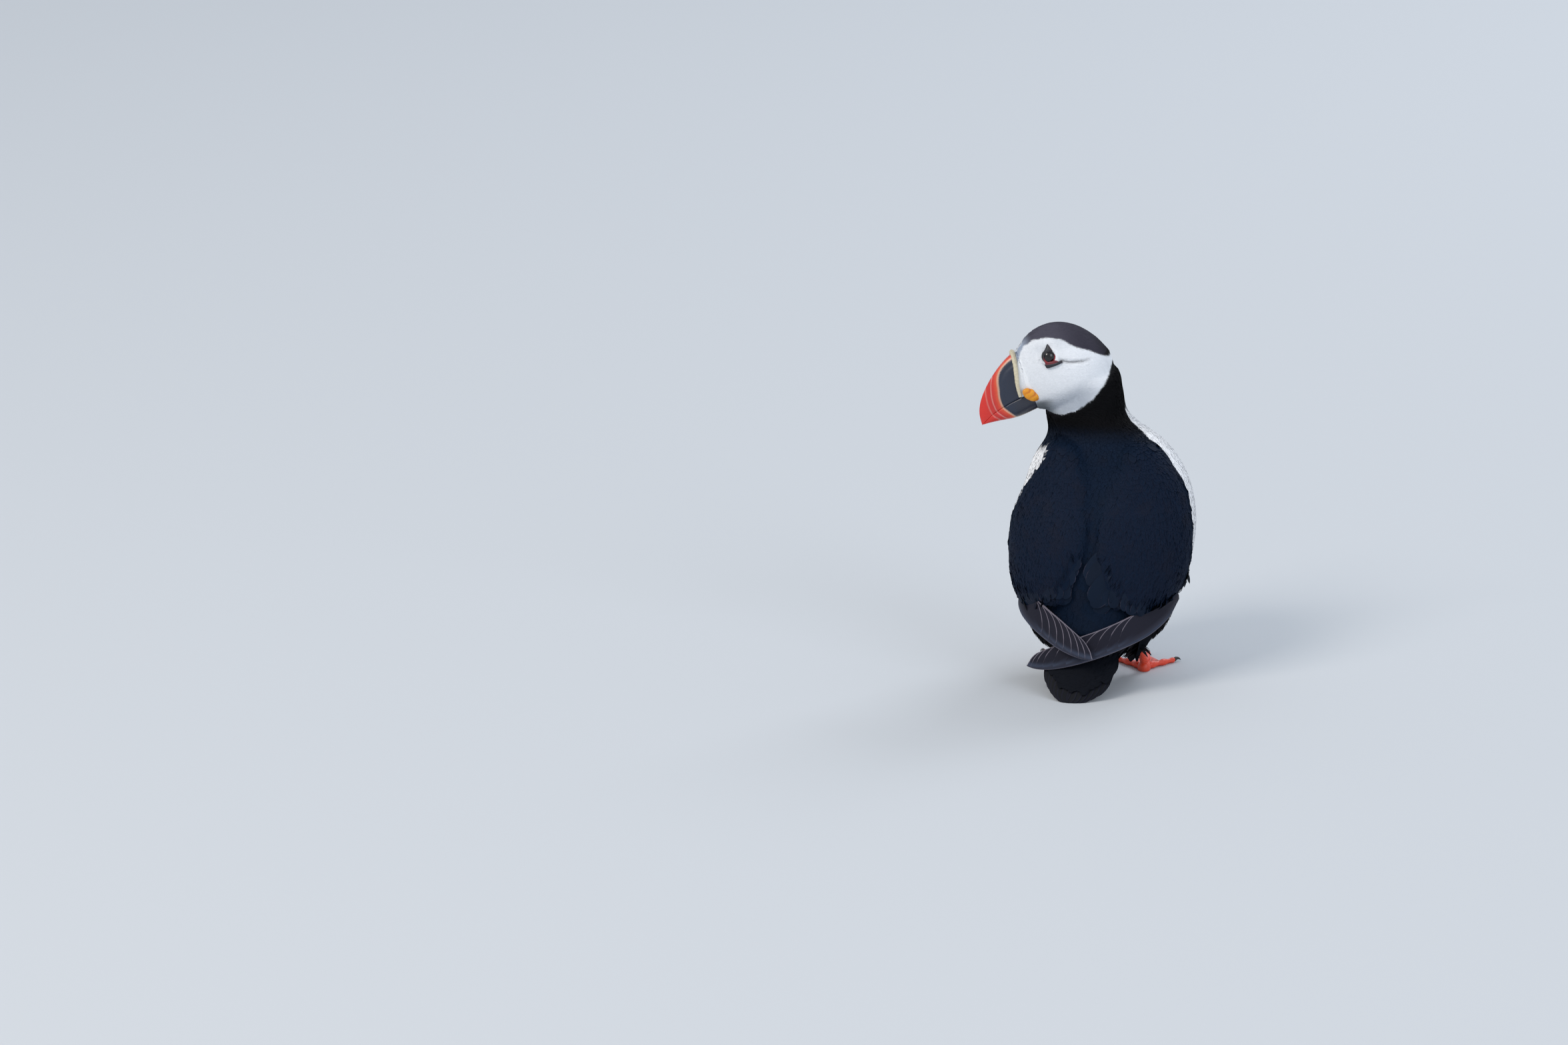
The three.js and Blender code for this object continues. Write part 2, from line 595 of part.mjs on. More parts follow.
function clawSolid(side, toe) {
  const turn = rad(toe.turn);
  const along = new THREE.Vector3(side * Math.sin(turn), Math.cos(turn), 0);
  const root = toePoint(side, toe, 1).addScaledVector(along, 2 * GAP);
  const path = CLAW_RISE.map((z, k) => root.clone().addScaledVector(along, (k / 3) * CLAW_LENGTH).setZ(z));
  return limb(path, {
    width: (t) => lerp(1.2, 0.35, t), thick: (t) => lerp(1.35, 0.4, t), flat: () => new THREE.Vector3(0, 0, 1),
    steps: 4, count: 6,
  });
}

// ---------------------------------------------------------------- assembly

const bird = new THREE.Group();
const add = (group, name, solid, material) => group.add(meshOf(name, solid, material));

const headGroup = new THREE.Group();
headGroup.position.copy(HEAD_PLACE);
headGroup.rotation.set(rad(HEAD_PITCH), rad(HEAD_ROLL), rad(HEAD_YAW), "ZXY");
headGroup.updateMatrix();
bird.add(headGroup);

function buildHead() {
  const sides = [[1, "right"], [-1, "left"]];
  const upper = upperBill();
  const lower = lowerBill();
  let head = headSolid();
  let top = upper;
  let bottom = lower;
  head = cut(head, upperBill(GAP), lowerBill(GAP), cereSolid(GAP));
  top = cut(top, cereSolid(GAP));
  bottom = cut(bottom, cereSolid(GAP));
  for (const [side, word] of sides) {
    const rosette = rosetteSolid(side).subtract(cereSolid(GAP));
    head = cut(head, rosetteSolid(side, GAP), eyeSolid(side, GAP));
    top = cut(top, rosetteSolid(side, GAP));
    bottom = cut(bottom, rosetteSolid(side, GAP));
    add(headGroup, `rosette_${word}`, largest(rosette), ROSETTE_YELLOW);
    add(headGroup, `eye_${word}`, eyeSolid(side), EYE_DARK);
    for (const [place, outline] of [["upper", PLATE_UPPER], ["lower", PLATE_LOWER]]) {
      head = cut(head, plateSolid(outline, side, GAP));
      add(headGroup, `eye_plate_${place}_${word}`, cut(plateSolid(outline, side), eyeSolid(side, GAP)), PLATE_GREY);
    }
  }
  add(headGroup, "head", head, FACE_PLUMAGE);
  add(headGroup, "bill_upper", top, BILL_RED);
  add(headGroup, "bill_lower", bottom, BILL_RED);
  add(headGroup, "bill_cere", cereSolid(), BILL_PALE);
}

function buildBody() {
  const whole = bodySolid();
  const grown = bodySolid(GAP);
  const above = slabAt(NECK_BASE, 200, 100);
  const seam = slabAt(NECK_BASE, GAP, 0);
  const headSpace = moved(headSolid(GAP), headGroup.matrix);
  const wings = [[1, "right", BLADE_RIGHT], [-1, "left", BLADE_LEFT]];
  let trunk = cut(whole, above, seam);
  const neck = cut(whole.intersect(above), seam, headSpace);
  const leftBladeSpace = bladeSolid(BLADE_LEFT, GAP);
  for (const [side, word, path] of wings) {
    const patches = [
      (grow) => wingPatch(side, WING_FLIGHT_TOP + 0.02, WING_TOP, { steps: 8, grow }),
      (grow) => wingPatch(side, WING_END, WING_FLIGHT_TOP - 0.02, { steps: 3, grow }),
    ];
    const [coverts, flight] = patches.map((patch) => patch(0));
    const [covertSpace, flightSpace] = patches.map((patch) => patch(1.4 * GAP));
    const space = covertSpace.add(flightSpace);
    trunk = cut(trunk, space);
    let blade = cut(bladeSolid(path), grown, space);
    if (side > 0) blade = cut(blade, leftBladeSpace);
    add(bird, `wing_${word}_coverts`, largest(coverts), BLACK_PLUMAGE);
    add(bird, `wing_${word}_secondaries`, largest(flight), BLACK_PLUMAGE);
    add(bird, `wing_${word}_primaries`, blade, BLACK_PLUMAGE);
    const thigh = cut(thighSolid(side), grown, space);
    add(bird, `thigh_${word}`, thigh, BLACK_PLUMAGE);
    const foot = cut(footSolid(side), tarsusSolid(side, GAP));
    add(bird, `tarsus_${word}`, cut(tarsusSolid(side), thighSolid(side, GAP), grown), LEG_ORANGE);
    add(bird, `foot_${word}`, foot, LEG_ORANGE);
    for (const toe of TOES) add(bird, `claw_${word}_${toe.name}`, clawSolid(side, toe), CLAW_BLACK);
  }
  add(bird, "trunk", trunk, BLACK_PLUMAGE);
  add(bird, "neck", neck, BLACK_PLUMAGE);
  add(bird, "tail", cut(tailSolid(), grown, bladeSolid(BLADE_RIGHT, GAP), leftBladeSpace), BLACK_PLUMAGE);
}

buildHead();
buildBody();

// The origin: bottom centre of the whole bird's box.
bird.updateMatrixWorld(true);
const box = new THREE.Box3().setFromObject(bird, true);
const middle = box.getCenter(new THREE.Vector3());
bird.position.set(-middle.x, -middle.y, -box.min.z);

export default bird;
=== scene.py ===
"""Atlantic puffin: one life-size standing bird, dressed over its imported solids.

The bird faces +Y with its head turned over its left shoulder. Shapes are worked out in millimetres about
a point on the floor between the feet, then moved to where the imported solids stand, in metres. One skin
covers head, neck, trunk, wings and thighs. Feathers are meshes laid over that skin along the lie of the
plumage, and skin and feathers take their colours from the same markings.
"""

from __future__ import annotations

import logging
import math
from dataclasses import dataclass, field
from enum import IntEnum
from typing import Callable, Optional, Sequence

import bmesh
import bpy
import numpy as np
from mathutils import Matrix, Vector

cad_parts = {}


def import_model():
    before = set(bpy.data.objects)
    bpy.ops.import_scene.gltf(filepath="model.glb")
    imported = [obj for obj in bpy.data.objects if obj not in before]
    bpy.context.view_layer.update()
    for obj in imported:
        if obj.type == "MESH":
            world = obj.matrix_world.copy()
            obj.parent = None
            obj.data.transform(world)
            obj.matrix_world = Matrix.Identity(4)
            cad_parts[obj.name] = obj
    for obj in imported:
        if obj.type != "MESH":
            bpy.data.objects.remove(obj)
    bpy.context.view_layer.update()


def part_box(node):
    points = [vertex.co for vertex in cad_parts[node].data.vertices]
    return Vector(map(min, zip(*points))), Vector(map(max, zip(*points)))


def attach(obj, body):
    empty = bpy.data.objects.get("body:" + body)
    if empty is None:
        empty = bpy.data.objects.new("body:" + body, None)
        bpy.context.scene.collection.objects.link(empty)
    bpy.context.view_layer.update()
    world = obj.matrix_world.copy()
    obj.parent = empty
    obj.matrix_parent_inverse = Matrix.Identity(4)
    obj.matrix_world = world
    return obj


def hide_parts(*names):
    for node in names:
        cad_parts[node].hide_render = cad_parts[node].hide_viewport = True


LOG = logging.getLogger("puffin")
MM = 0.001
TINY = 1e-9
SEED = 7
Array = np.ndarray
Pairs = tuple[tuple[float, float], ...]
Knots = tuple[tuple[float, float, float], ...]


class Side(IntEnum):
    """The bird's right and left, as the sign of x there."""

    RIGHT = 1
    LEFT = -1

    @property
    def word(self) -> str:
        """The side as it stands in the names of pieces and nodes."""
        return self.name.lower()


# ------------------------------------------------------------------ colours and small sums


def linear(hex_colour: str) -> Array:
    """Turns an sRGB hex colour into linear red, green and blue.

    Args:
        hex_colour: six hex digits, with or without a leading hash.

    Returns:
        Three linear values from 0 to 1.
    """
    digits = hex_colour.lstrip("#")
    srgb = np.array([int(digits[i : i + 2], 16) / 255.0 for i in (0, 2, 4)])
    return np.where(srgb <= 0.04045, srgb / 12.92, ((srgb + 0.055) / 1.055) ** 2.4)


def smoothstep(low: float, high: float, value: Array) -> Array:
    """Rises from 0 at low to 1 at high along a cubic with level ends."""
    t = np.clip((value - low) / (high - low), 0.0, 1.0)
    return t * t * (3.0 - 2.0 * t)


def mix(a: Array, b: Array, share: Array) -> Array:
    """Blends rows of a into rows of b by one share per row."""
    return a + (b - a) * np.asarray(share)[..., None]


def unit(vectors: Array) -> Array:
    """Scales each row to length one."""
    return vectors / np.maximum(np.linalg.norm(vectors, axis=-1, keepdims=True), TINY)


def plain(colour: str, count: int) -> Array:
    """One colour for each of a number of points."""
    return np.repeat(linear(colour)[None], count, axis=0)


def square_to(along: Array, axis: int) -> Array:
    """The direction nearest to an axis (0 to 2) that is square to each row."""
    return unit(np.eye(3)[axis] - along * along[:, axis : axis + 1])


def ball_angles(rows: int, columns: int) -> tuple[Array, Array]:
    """Two grids of angles over a ball: from pole to pole, and round it."""
    around = np.linspace(0, 2 * np.pi, columns, endpoint=False)
    return tuple(np.meshgrid(np.linspace(0, np.pi, rows), around, indexing="ij"))


def read_pairs(pairs: Pairs, value: Array) -> Array:
    """Straight lines through pairs of a place and a value, read at a place."""
    return np.interp(value, *zip(*pairs))


def through(values: Sequence[float], u: Array) -> Array:
    """A Catmull-Rom curve through evenly spaced values.

    Args:
        values: the values at u = 0, 1, 2 and so on.
        u: where to read the curve.

    Returns:
        The curve's value for each u.
    """
    known = np.asarray(values, float)
    last = len(known) - 1
    padded = np.concatenate([[2 * known[0] - known[1]], known, [2 * known[-1] - known[-2]]])
    u = np.clip(np.asarray(u, float), 0, last)
    i = np.minimum(np.floor(u).astype(int), last - 1)
    t = u - i
    p0, p1, p2, p3 = (padded[i + k] for k in range(4))
    return p1 + 0.5 * t * (p2 - p0 + t * (2 * p0 - 5 * p1 + 4 * p2 - p3 + t * (3 * (p1 - p2) + p3 - p0)))


def power(value: Array, exponent: float) -> Array:
    """A signed power: the sign of the value with its size raised to the exponent."""
    return np.sign(value) * np.abs(value) ** exponent


def noise(points: Array, scale: float, seed: int) -> Array:
    """Soft noise from -1 to 1: the mean of sines along fixed random directions.

    Args:
        points: places in millimetres.
        scale: rough size of one patch in millimetres.
        seed: picks the directions.

    Returns:
        One value per point.
    """
    rng = np.random.default_rng(seed)
    total = np.zeros(len(points))
    for _ in range(7):
        way = unit(rng.normal(size=3)) * rng.uniform(0.6, 1.7) * 2 * math.pi / scale
        total += np.sin(points @ way + rng.uniform(0, 2 * math.pi))
    return total / 4.2


# ------------------------------------------------------------------ the bird's forms


@dataclass(frozen=True)
class Station:
    """One section of the body: its centre, its axis's angle above level, and its half sizes."""

    x: float
    y: float
    z: float
    lean: float
    half: float
    back: float
    front: float


@dataclass(frozen=True)
class BodyForm:
    """Trunk and neck, as sections from the tail root (0) to inside the head (11).

    An angle of 0 is the bird's right side, 90 its back and -90 its breast.
    """

    squareness: float = 2.15
    stations: tuple[Station, ...] = (
        Station(0, -50, 33, 45, 15, 5, 25),
        Station(-1, -40, 40, 46, 28.5, 14, 39),
        Station(-3.2, -27, 52, 49, 43.6, 29, 44),
        Station(-1.1, -12, 70, 53, 53, 40, 55),
        Station(-0.8, 2, 91, 58, 56.2, 43, 59),
        Station(0.1, 11, 110, 64, 52.8, 40, 54),
        Station(-1.2, 16, 127, 71, 46.6, 34, 46),
        Station(-3.6, 17, 142, 79, 36.4, 28, 34),
        Station(-14.2, 15, 156, 86, 26.5, 24, 25),
        Station(-15.8, 13, 170, 92, 24.2, 22, 22),
        Station(-15.8, 11, 183, 96, 21.2, 21, 20),
        Station(-19, 9, 191, 97, 12, 12, 11),
    )

    def read(self, name: str, station: Array) -> Array:
        """The smooth value of one column of the stations."""
        return through([getattr(row, name) for row in self.stations], station)

    def centre(self, station: Array) -> Array:
        """The middle of each section."""
        return np.stack([self.read(k, station) for k in ("x", "y", "z")], axis=-1)

    def axis(self, station: Array) -> Array:
        """The direction along the body, towards the head."""
        lean = np.radians(self.read("lean", station))
        return np.stack([np.zeros_like(lean), np.cos(lean), np.sin(lean)], axis=-1)

    def backward(self, station: Array) -> Array:
        """The direction from each section's middle to the bird's back."""
        lean = np.radians(self.read("lean", station))
        return np.stack([np.zeros_like(lean), -np.sin(lean), np.cos(lean)], axis=-1)

    def point(self, station: Array, degrees: Array) -> Array:
        """The surface: a superellipse about each centre, deeper in front than behind.

        Args:
            station: place along the body.
            degrees: angle round it.

        Returns:
            Points in millimetres.
        """
        station, degrees = np.broadcast_arrays(np.asarray(station, float), np.asarray(degrees, float))
        c, s = np.cos(np.radians(degrees)), np.sin(np.radians(degrees))
        across = self.read("half", station) * power(c, 2 / self.squareness)
        reach = np.where(s > 0, self.read("back", station), self.read("front", station))
        depth = reach * power(s, 2 / self.squareness)
        place = self.centre(station)
        place[..., 0] += across
        return place + self.backward(station) * depth[..., None]

    def normal(self, station: Array, degrees: Array) -> Array:
        """The outward direction, from the cross product of two small steps over the surface."""
        along = self.point(station + 0.05, degrees) - self.point(station - 0.05, degrees)
        around = self.point(station, degrees + 1.0) - self.point(station, degrees - 1.0)
        return unit(np.cross(along, around))

    def locate(self, points: Array) -> tuple[Array, Array]:
        """Finds the section plane through each point and the angle in it.

        Args:
            points: places in millimetres.

        Returns:
            Station and angle in degrees for each point.
        """
        steps = np.linspace(0, len(self.stations) - 1, 111)
        centres, axes = self.centre(steps), self.axis(steps)
        off = points @ axes.T - np.sum(centres * axes, axis=1)
        nearest = np.argmin(np.abs(off) + 0.02 * np.linalg.norm(points[:, None] - centres, axis=2), axis=1)
        station = steps[nearest]
        offset = points - self.centre(station)
        depth = np.sum(offset * self.backward(station), axis=1)
        reach = np.where(depth > 0, self.read("back", station), self.read("front", station))
        return station, np.degrees(np.arctan2(depth / reach, offset[:, 0] / self.read("half", station)))


@dataclass(frozen=True)
class HeadStation:
    """One section of the head: its place, crown, jowl, widest line and half width there."""

    y: float
    top: float
    low: float
    wide: float
    half: float


@dataclass(frozen=True)
class HeadForm:
    """The head in its own level frame: x right, y towards the bill, z up."""

    place: tuple[float, float, float] = (-37.0, 4.0, 191.7)
    yaw: float = 108.0
    pitch: float = -20.0
    crown_roundness: float = 1.85
    jowl_roundness: float = 2.3
    eye_height: float = 3.8
    eye_radius: float = 4.4
    eye_sink: float = 3.1
    stations: tuple[HeadStation, ...] = (
        HeadStation(-37, -9, -19, -14, 3),
        HeadStation(-32, 2, -26, -13, 13),
        HeadStation(-25, 11.2, -31, -12.5, 18.6),
        HeadStation(-17, 17.3, -34.3, -12.5, 21),
        HeadStation(-9, 20.2, -35.8, -12.5, 20.9),
        HeadStation(-1, 20.6, -35.6, -12.5, 18.8),
        HeadStation(7, 18.6, -33.6, -12.5, 15.4),
        HeadStation(14, 14.6, -30, -12, 11.8),
        HeadStation(20, 9.6, -26.6, -11, 8.6),
        HeadStation(24, 4, -22, -9.5, 5.5),
    )

    @property
    def turn(self) -> Array:
        """Columns are the head's right, forward and up directions in the bird's frame."""
        yaw, pitch = math.radians(self.yaw), math.radians(self.pitch)
        about_z = np.array([[math.cos(yaw), -math.sin(yaw), 0], [math.sin(yaw), math.cos(yaw), 0], [0, 0, 1]])
        c, s = math.cos(pitch), math.sin(pitch)
        about_x = np.array([[1, 0, 0], [0, c, -s], [0, s, c]])
        return about_z @ about_x

    def out(self, local: Array) -> Array:
        """From the head's frame to the bird's."""
        return local @ self.turn.T + np.array(self.place)

    def back(self, points: Array) -> Array:
        """From the bird's frame to the head's."""
        return (points - np.array(self.place)) @ self.turn

    def read(self, name: str, u: Array) -> Array:
        """The smooth value of one column of the stations."""
        return through([getattr(row, name) for row in self.stations], u)

    def point(self, u: Array, degrees: Array) -> Array:
        """The surface in the head's frame: two half superellipses, crown over jowl.

        Args:
            u: place along the head, by station.
            degrees: angle round it.

        Returns:
            Points in millimetres.
        """
        u, degrees = np.broadcast_arrays(np.asarray(u, float), np.asarray(degrees, float))
        c, s = np.cos(np.radians(degrees)), np.sin(np.radians(degrees))
        rounds = np.where(s > 0, self.crown_roundness, self.jowl_roundness)
        wide = self.read("wide", u)
        reach = np.where(s > 0, self.read("top", u) - wide, wide - self.read("low", u))
        x = self.read("half", u) * power(c, 2 / rounds)
        z = wide + reach * power(s, 2 / rounds)
        return np.stack([x, self.read("y", u), z], axis=-1)

    def half(self, y: Array, z: Array) -> Array:
        """Half width of the head at places on its side view.

        Args:
            y: place forwards.
            z: place upwards.

        Returns:
            Half widths in millimetres.
        """
        y, z = np.broadcast_arrays(np.asarray(y, float), np.asarray(z, float))
        steps = np.linspace(0, len(self.stations) - 1, 400)
        u = np.interp(y, self.read("y", steps), steps)
        wide = self.read("wide", u)
        reach = np.where(z > wide, self.read("top", u) - wide, wide - self.read("low", u))
        rounds = np.where(z > wide, self.crown_roundness, self.jowl_roundness)
        share = np.clip(np.abs(z - wide) / reach, 0, 1)
        return self.read("half", u) * (1 - share**rounds) ** (1 / rounds)

    def eye(self, side: Side) -> Array:
        """Centre of an eyeball in the head's frame."""
        return np.array([side * (float(self.half(0, self.eye_height)) - self.eye_sink), 0.0, self.eye_height])


@dataclass(frozen=True)
class WingForm:
    """Each folded wing as a raised patch on the body, between a front and a back border.

    A border is given as (station, angle from the side towards the back).
    """

    low: float = 1.3
    top: float = 6.9
    thick: float = 4.6
    edge: float = 1.1
    embed: float = 1.4
    merge: tuple[float, float] = (2.9, 3.9)
    front_right: Pairs = (
        (1.2, 25), (2, 0), (2.6, -8), (3.1, 3), (3.6, 12), (4.2, 20), (5.1, 26), (5.75, 33), (7.0, 35))
    front_left: Pairs = (
        (1.2, 21), (2, -5), (2.6, -7), (3.1, 4), (3.6, 17), (4.2, 28), (5.1, 34), (5.75, 40), (7.0, 42))
    back: Pairs = (
        (1.2, 60), (2, 78), (2.6, 86.5), (3.3, 87), (4.2, 86), (5.2, 83), (6.2, 76), (7.0, 62))

    @staticmethod
    def border(pairs: Pairs, station: Array) -> Array:
        """Reads a border, half straight and half eased between its pairs.

        Args:
            pairs: the border.
            station: where to read it.

        Returns:
            The border's angle at each station.
        """
        known = np.array(pairs)
        i = np.clip(np.searchsorted(known[:, 0], station) - 1, 0, len(known) - 2)
        t = np.clip((station - known[i, 0]) / (known[i + 1, 0] - known[i, 0]), 0, 1)
        eased = 0.5 * t * t * (3 - 2 * t) + 0.5 * t
        return known[i, 1] + (known[i + 1, 1] - known[i, 1]) * eased

    def front(self, side: Side, station: Array) -> Array:
        """The front border of one wing."""
        return self.border(self.front_right if side > 0 else self.front_left, station)

    def shell(self, body: BodyForm, side: Side, rows: int, columns: int) -> tuple[Array, Array]:
        """The patch's outer and inner surfaces: the body's surface moved along its normal.

        Args:
            body: the form that the wing lies on.
            side: which wing.
            rows: points along the wing.
            columns: points across it.

        Returns:
            Outer and inner grids of points.
        """
        station = np.linspace(self.low, self.top, rows)[:, None]
        q = np.linspace(0, 1, columns)[None, :]
        front, back = self.front(side, station), self.border(self.back, station)
        across = front + (back - front) * q
        degrees = across if side > 0 else 180 - across
        station = np.broadcast_to(station, degrees.shape)
        fade = np.sin(np.pi * np.clip((self.top + 0.25 - station) / 2.4, 0, 0.5))
        # Above the notch between the wings their inner edges come down level with the back.
        merge = smoothstep(*self.merge, station)
        bulge = np.maximum(np.sin(np.pi * (0.12 + (0.8 + 0.08 * merge) * q)), 0) ** 0.7
        edge = self.edge * (1 - merge * q)
        height = edge + (self.thick - edge) * bulge * fade
        place, way = body.point(station, degrees), body.normal(station, degrees)
        return place + way * height[..., None], place - way * self.embed


@dataclass(frozen=True)
class ThighForm:
    """A feathered thigh: knots down its middle line, for the right side, and its half size at each."""

    knots: Knots
    size: tuple[float, ...]
    coat: float = 1.3

    def sections(self, side: Side, steps: int) -> tuple[Array, ...]:
        """The thigh's middle line and its sections, drawn in by the depth of the coat.

        Args:
            side: which thigh.
            steps: number of sections.

        Returns:
            Middle line, directions along it, across and outwards, and half sizes.
        """
        path, along = smooth_path([(side * x, y, z) for x, y, z in self.knots], steps)
        out = unit(np.cross(along, np.array([1.0, 0, 0])))
        size = through(self.size, np.linspace(0, len(self.size) - 1, steps)) - self.coat
        return path, along, np.cross(out, along), out, size


BODY = BodyForm()
HEAD = HeadForm()
WING = WingForm()
THIGHS = {
    Side.RIGHT: ThighForm(
        knots=((28, 6, 58), (28, 1, 45), (26, -4, 33), (24, -6, 24), (23.5, -5.5, 19.5)),
        size=(12, 15, 12.5, 7.2, 3.9)),
    Side.LEFT: ThighForm(
        knots=((32, 5, 58), (34, 0, 45), (33, -4, 33), (30, -5, 22), (25.5, -4, 14)),
        size=(12, 15, 14, 10, 4.2)),
}


# ------------------------------------------------------------------ meshes


def quads_between(rows: int, columns: int, wrap: bool = False) -> Array:
    """Corner numbers of the quads of a grid of points, rows by columns.

    Args:
        rows: rows of points.
        columns: points in a row.
        wrap: joins the last column back to the first.

    Returns:
        Four point numbers for each quad.
    """
    index = np.arange(rows * columns).reshape(rows, columns)
    if wrap:
        index = np.concatenate([index, index[:, :1]], axis=1)
    corners = [index[:-1, :-1], index[:-1, 1:], index[1:, 1:], index[1:, :-1]]
    return np.stack(corners, axis=-1).reshape(-1, 4)


@dataclass
class Surface:
    """A mesh under construction: points in millimetres, faces, and what each point carries."""

    points: Array
    faces: Array
    tint: Optional[Array] = None
    vane: Optional[Array] = None
    bake: Optional[Array] = None
    facing: Optional[Array] = None

    @staticmethod
    def grid(points: Array, wrap: bool = False) -> "Surface":
        """Joins a grid of points, rows by columns, into quads.

        Args:
            points: an array of rows by columns by three.
            wrap: joins the last column back to the first.

        Returns:
            The surface.
        """
        return Surface(points.reshape(-1, 3), quads_between(*points.shape[:2], wrap))

    @staticmethod
    def capped(rings: Array) -> "Surface":
        """Closes a stack of rings with a middle point at each end."""
        first, last = (rings[k].mean(axis=0) for k in (0, -1))
        caps = [np.repeat(p[None, None], rings.shape[1], axis=1) for p in (first, last)]
        return Surface.grid(np.concatenate([caps[0], rings, caps[1]]), wrap=True)

    def painted(self, colours: Array) -> "Surface":
        """Colours a capped stack ring by ring, its caps like the rings beside them."""
        self.tint = np.concatenate([colours[:1], colours, colours[-1:]]).reshape(-1, 3)
        return self

    @staticmethod
    def joined(parts: Sequence["Surface"]) -> "Surface":
        """Puts several surfaces into one.

        Args:
            parts: surfaces that carry the same things.

        Returns:
            One surface that keeps what their points carry.
        """
        offsets = np.cumsum([0] + [len(p.points) for p in parts[:-1]])
        carried_too = {
            name: np.concatenate([getattr(p, name) for p in parts])
            for name in ("tint", "vane", "bake", "facing") if getattr(parts[0], name) is not None
        }
        points = np.concatenate([p.points for p in parts])
        return Surface(points, np.concatenate([p.faces + o for p, o in zip(parts, offsets)]), **carried_too)

    def face_directions(self) -> Array:
        """Each quad's direction, as long as twice its area: the cross product of its diagonals."""
        a, b, c, d = (self.points[self.faces[:, k]] for k in range(4))
        return np.cross(c - a, d - b)

    def normals(self) -> Array:
        """Outward direction at each point, from the sum of its faces' directions."""
        directions = self.face_directions()
        total = np.zeros_like(self.points)
        for k in range(4):
            np.add.at(total, self.faces[:, k], directions)
        return unit(total)


def carried(path: Array, side: Array, out: Array, wide: Array, thick: Array, around: int) -> Surface:
    """A closed tube: an ellipse carried along a path, shrunk to a point at both ends.

    Args:
        path: centres along the path.
        side: sideways directions.
        out: outward directions.
        wide: half widths along side.
        thick: half sizes along out.
        around: points round each ellipse.

    Returns:
        The tube.
    """
    angle = np.linspace(0, 2 * np.pi, around, endpoint=False)
    ring = (
        np.cos(angle)[None, :, None] * (side * wide[:, None])[:, None, :]
        + np.sin(angle)[None, :, None] * (out * thick[:, None])[:, None, :]
    )
    points = path[:, None, :] + ring
    ends = [np.repeat(path[k][None, None], around, axis=1) for k in (0, -1)]
    return Surface.grid(np.concatenate([ends[0], points, ends[1]]), wrap=True)


def smooth_path(knots: Sequence[Sequence[float]], steps: int) -> tuple[Array, Array]:
    """Points and directions along a Catmull-Rom path.

    Args:
        knots: places that the path goes through.
        steps: number of points.

    Returns:
        The points, and the direction along the path at each.
    """
    known = np.asarray(knots, float)
    u = np.linspace(0, len(known) - 1, steps)
    path = np.stack([through(known[:, k], u) for k in range(known.shape[1])], axis=-1)
    return path, unit(np.gradient(path, axis=0))


def added(name: str, data: bpy.types.ID) -> bpy.types.Object:
    """A new object in the scene, at the origin."""
    made = bpy.data.objects.new(name, data)
    bpy.context.scene.collection.objects.link(made)
    return made


def paint(data: bpy.types.Mesh, tint: Array) -> None:
    """Stores one linear colour for each point in the mesh's Tint attribute."""
    colour = data.color_attributes.new("Tint", "FLOAT_COLOR", "POINT")
    rgba = np.concatenate([tint, np.ones((len(tint), 1))], axis=1)
    colour.data.foreach_set("color", rgba.astype(np.float32).ravel())


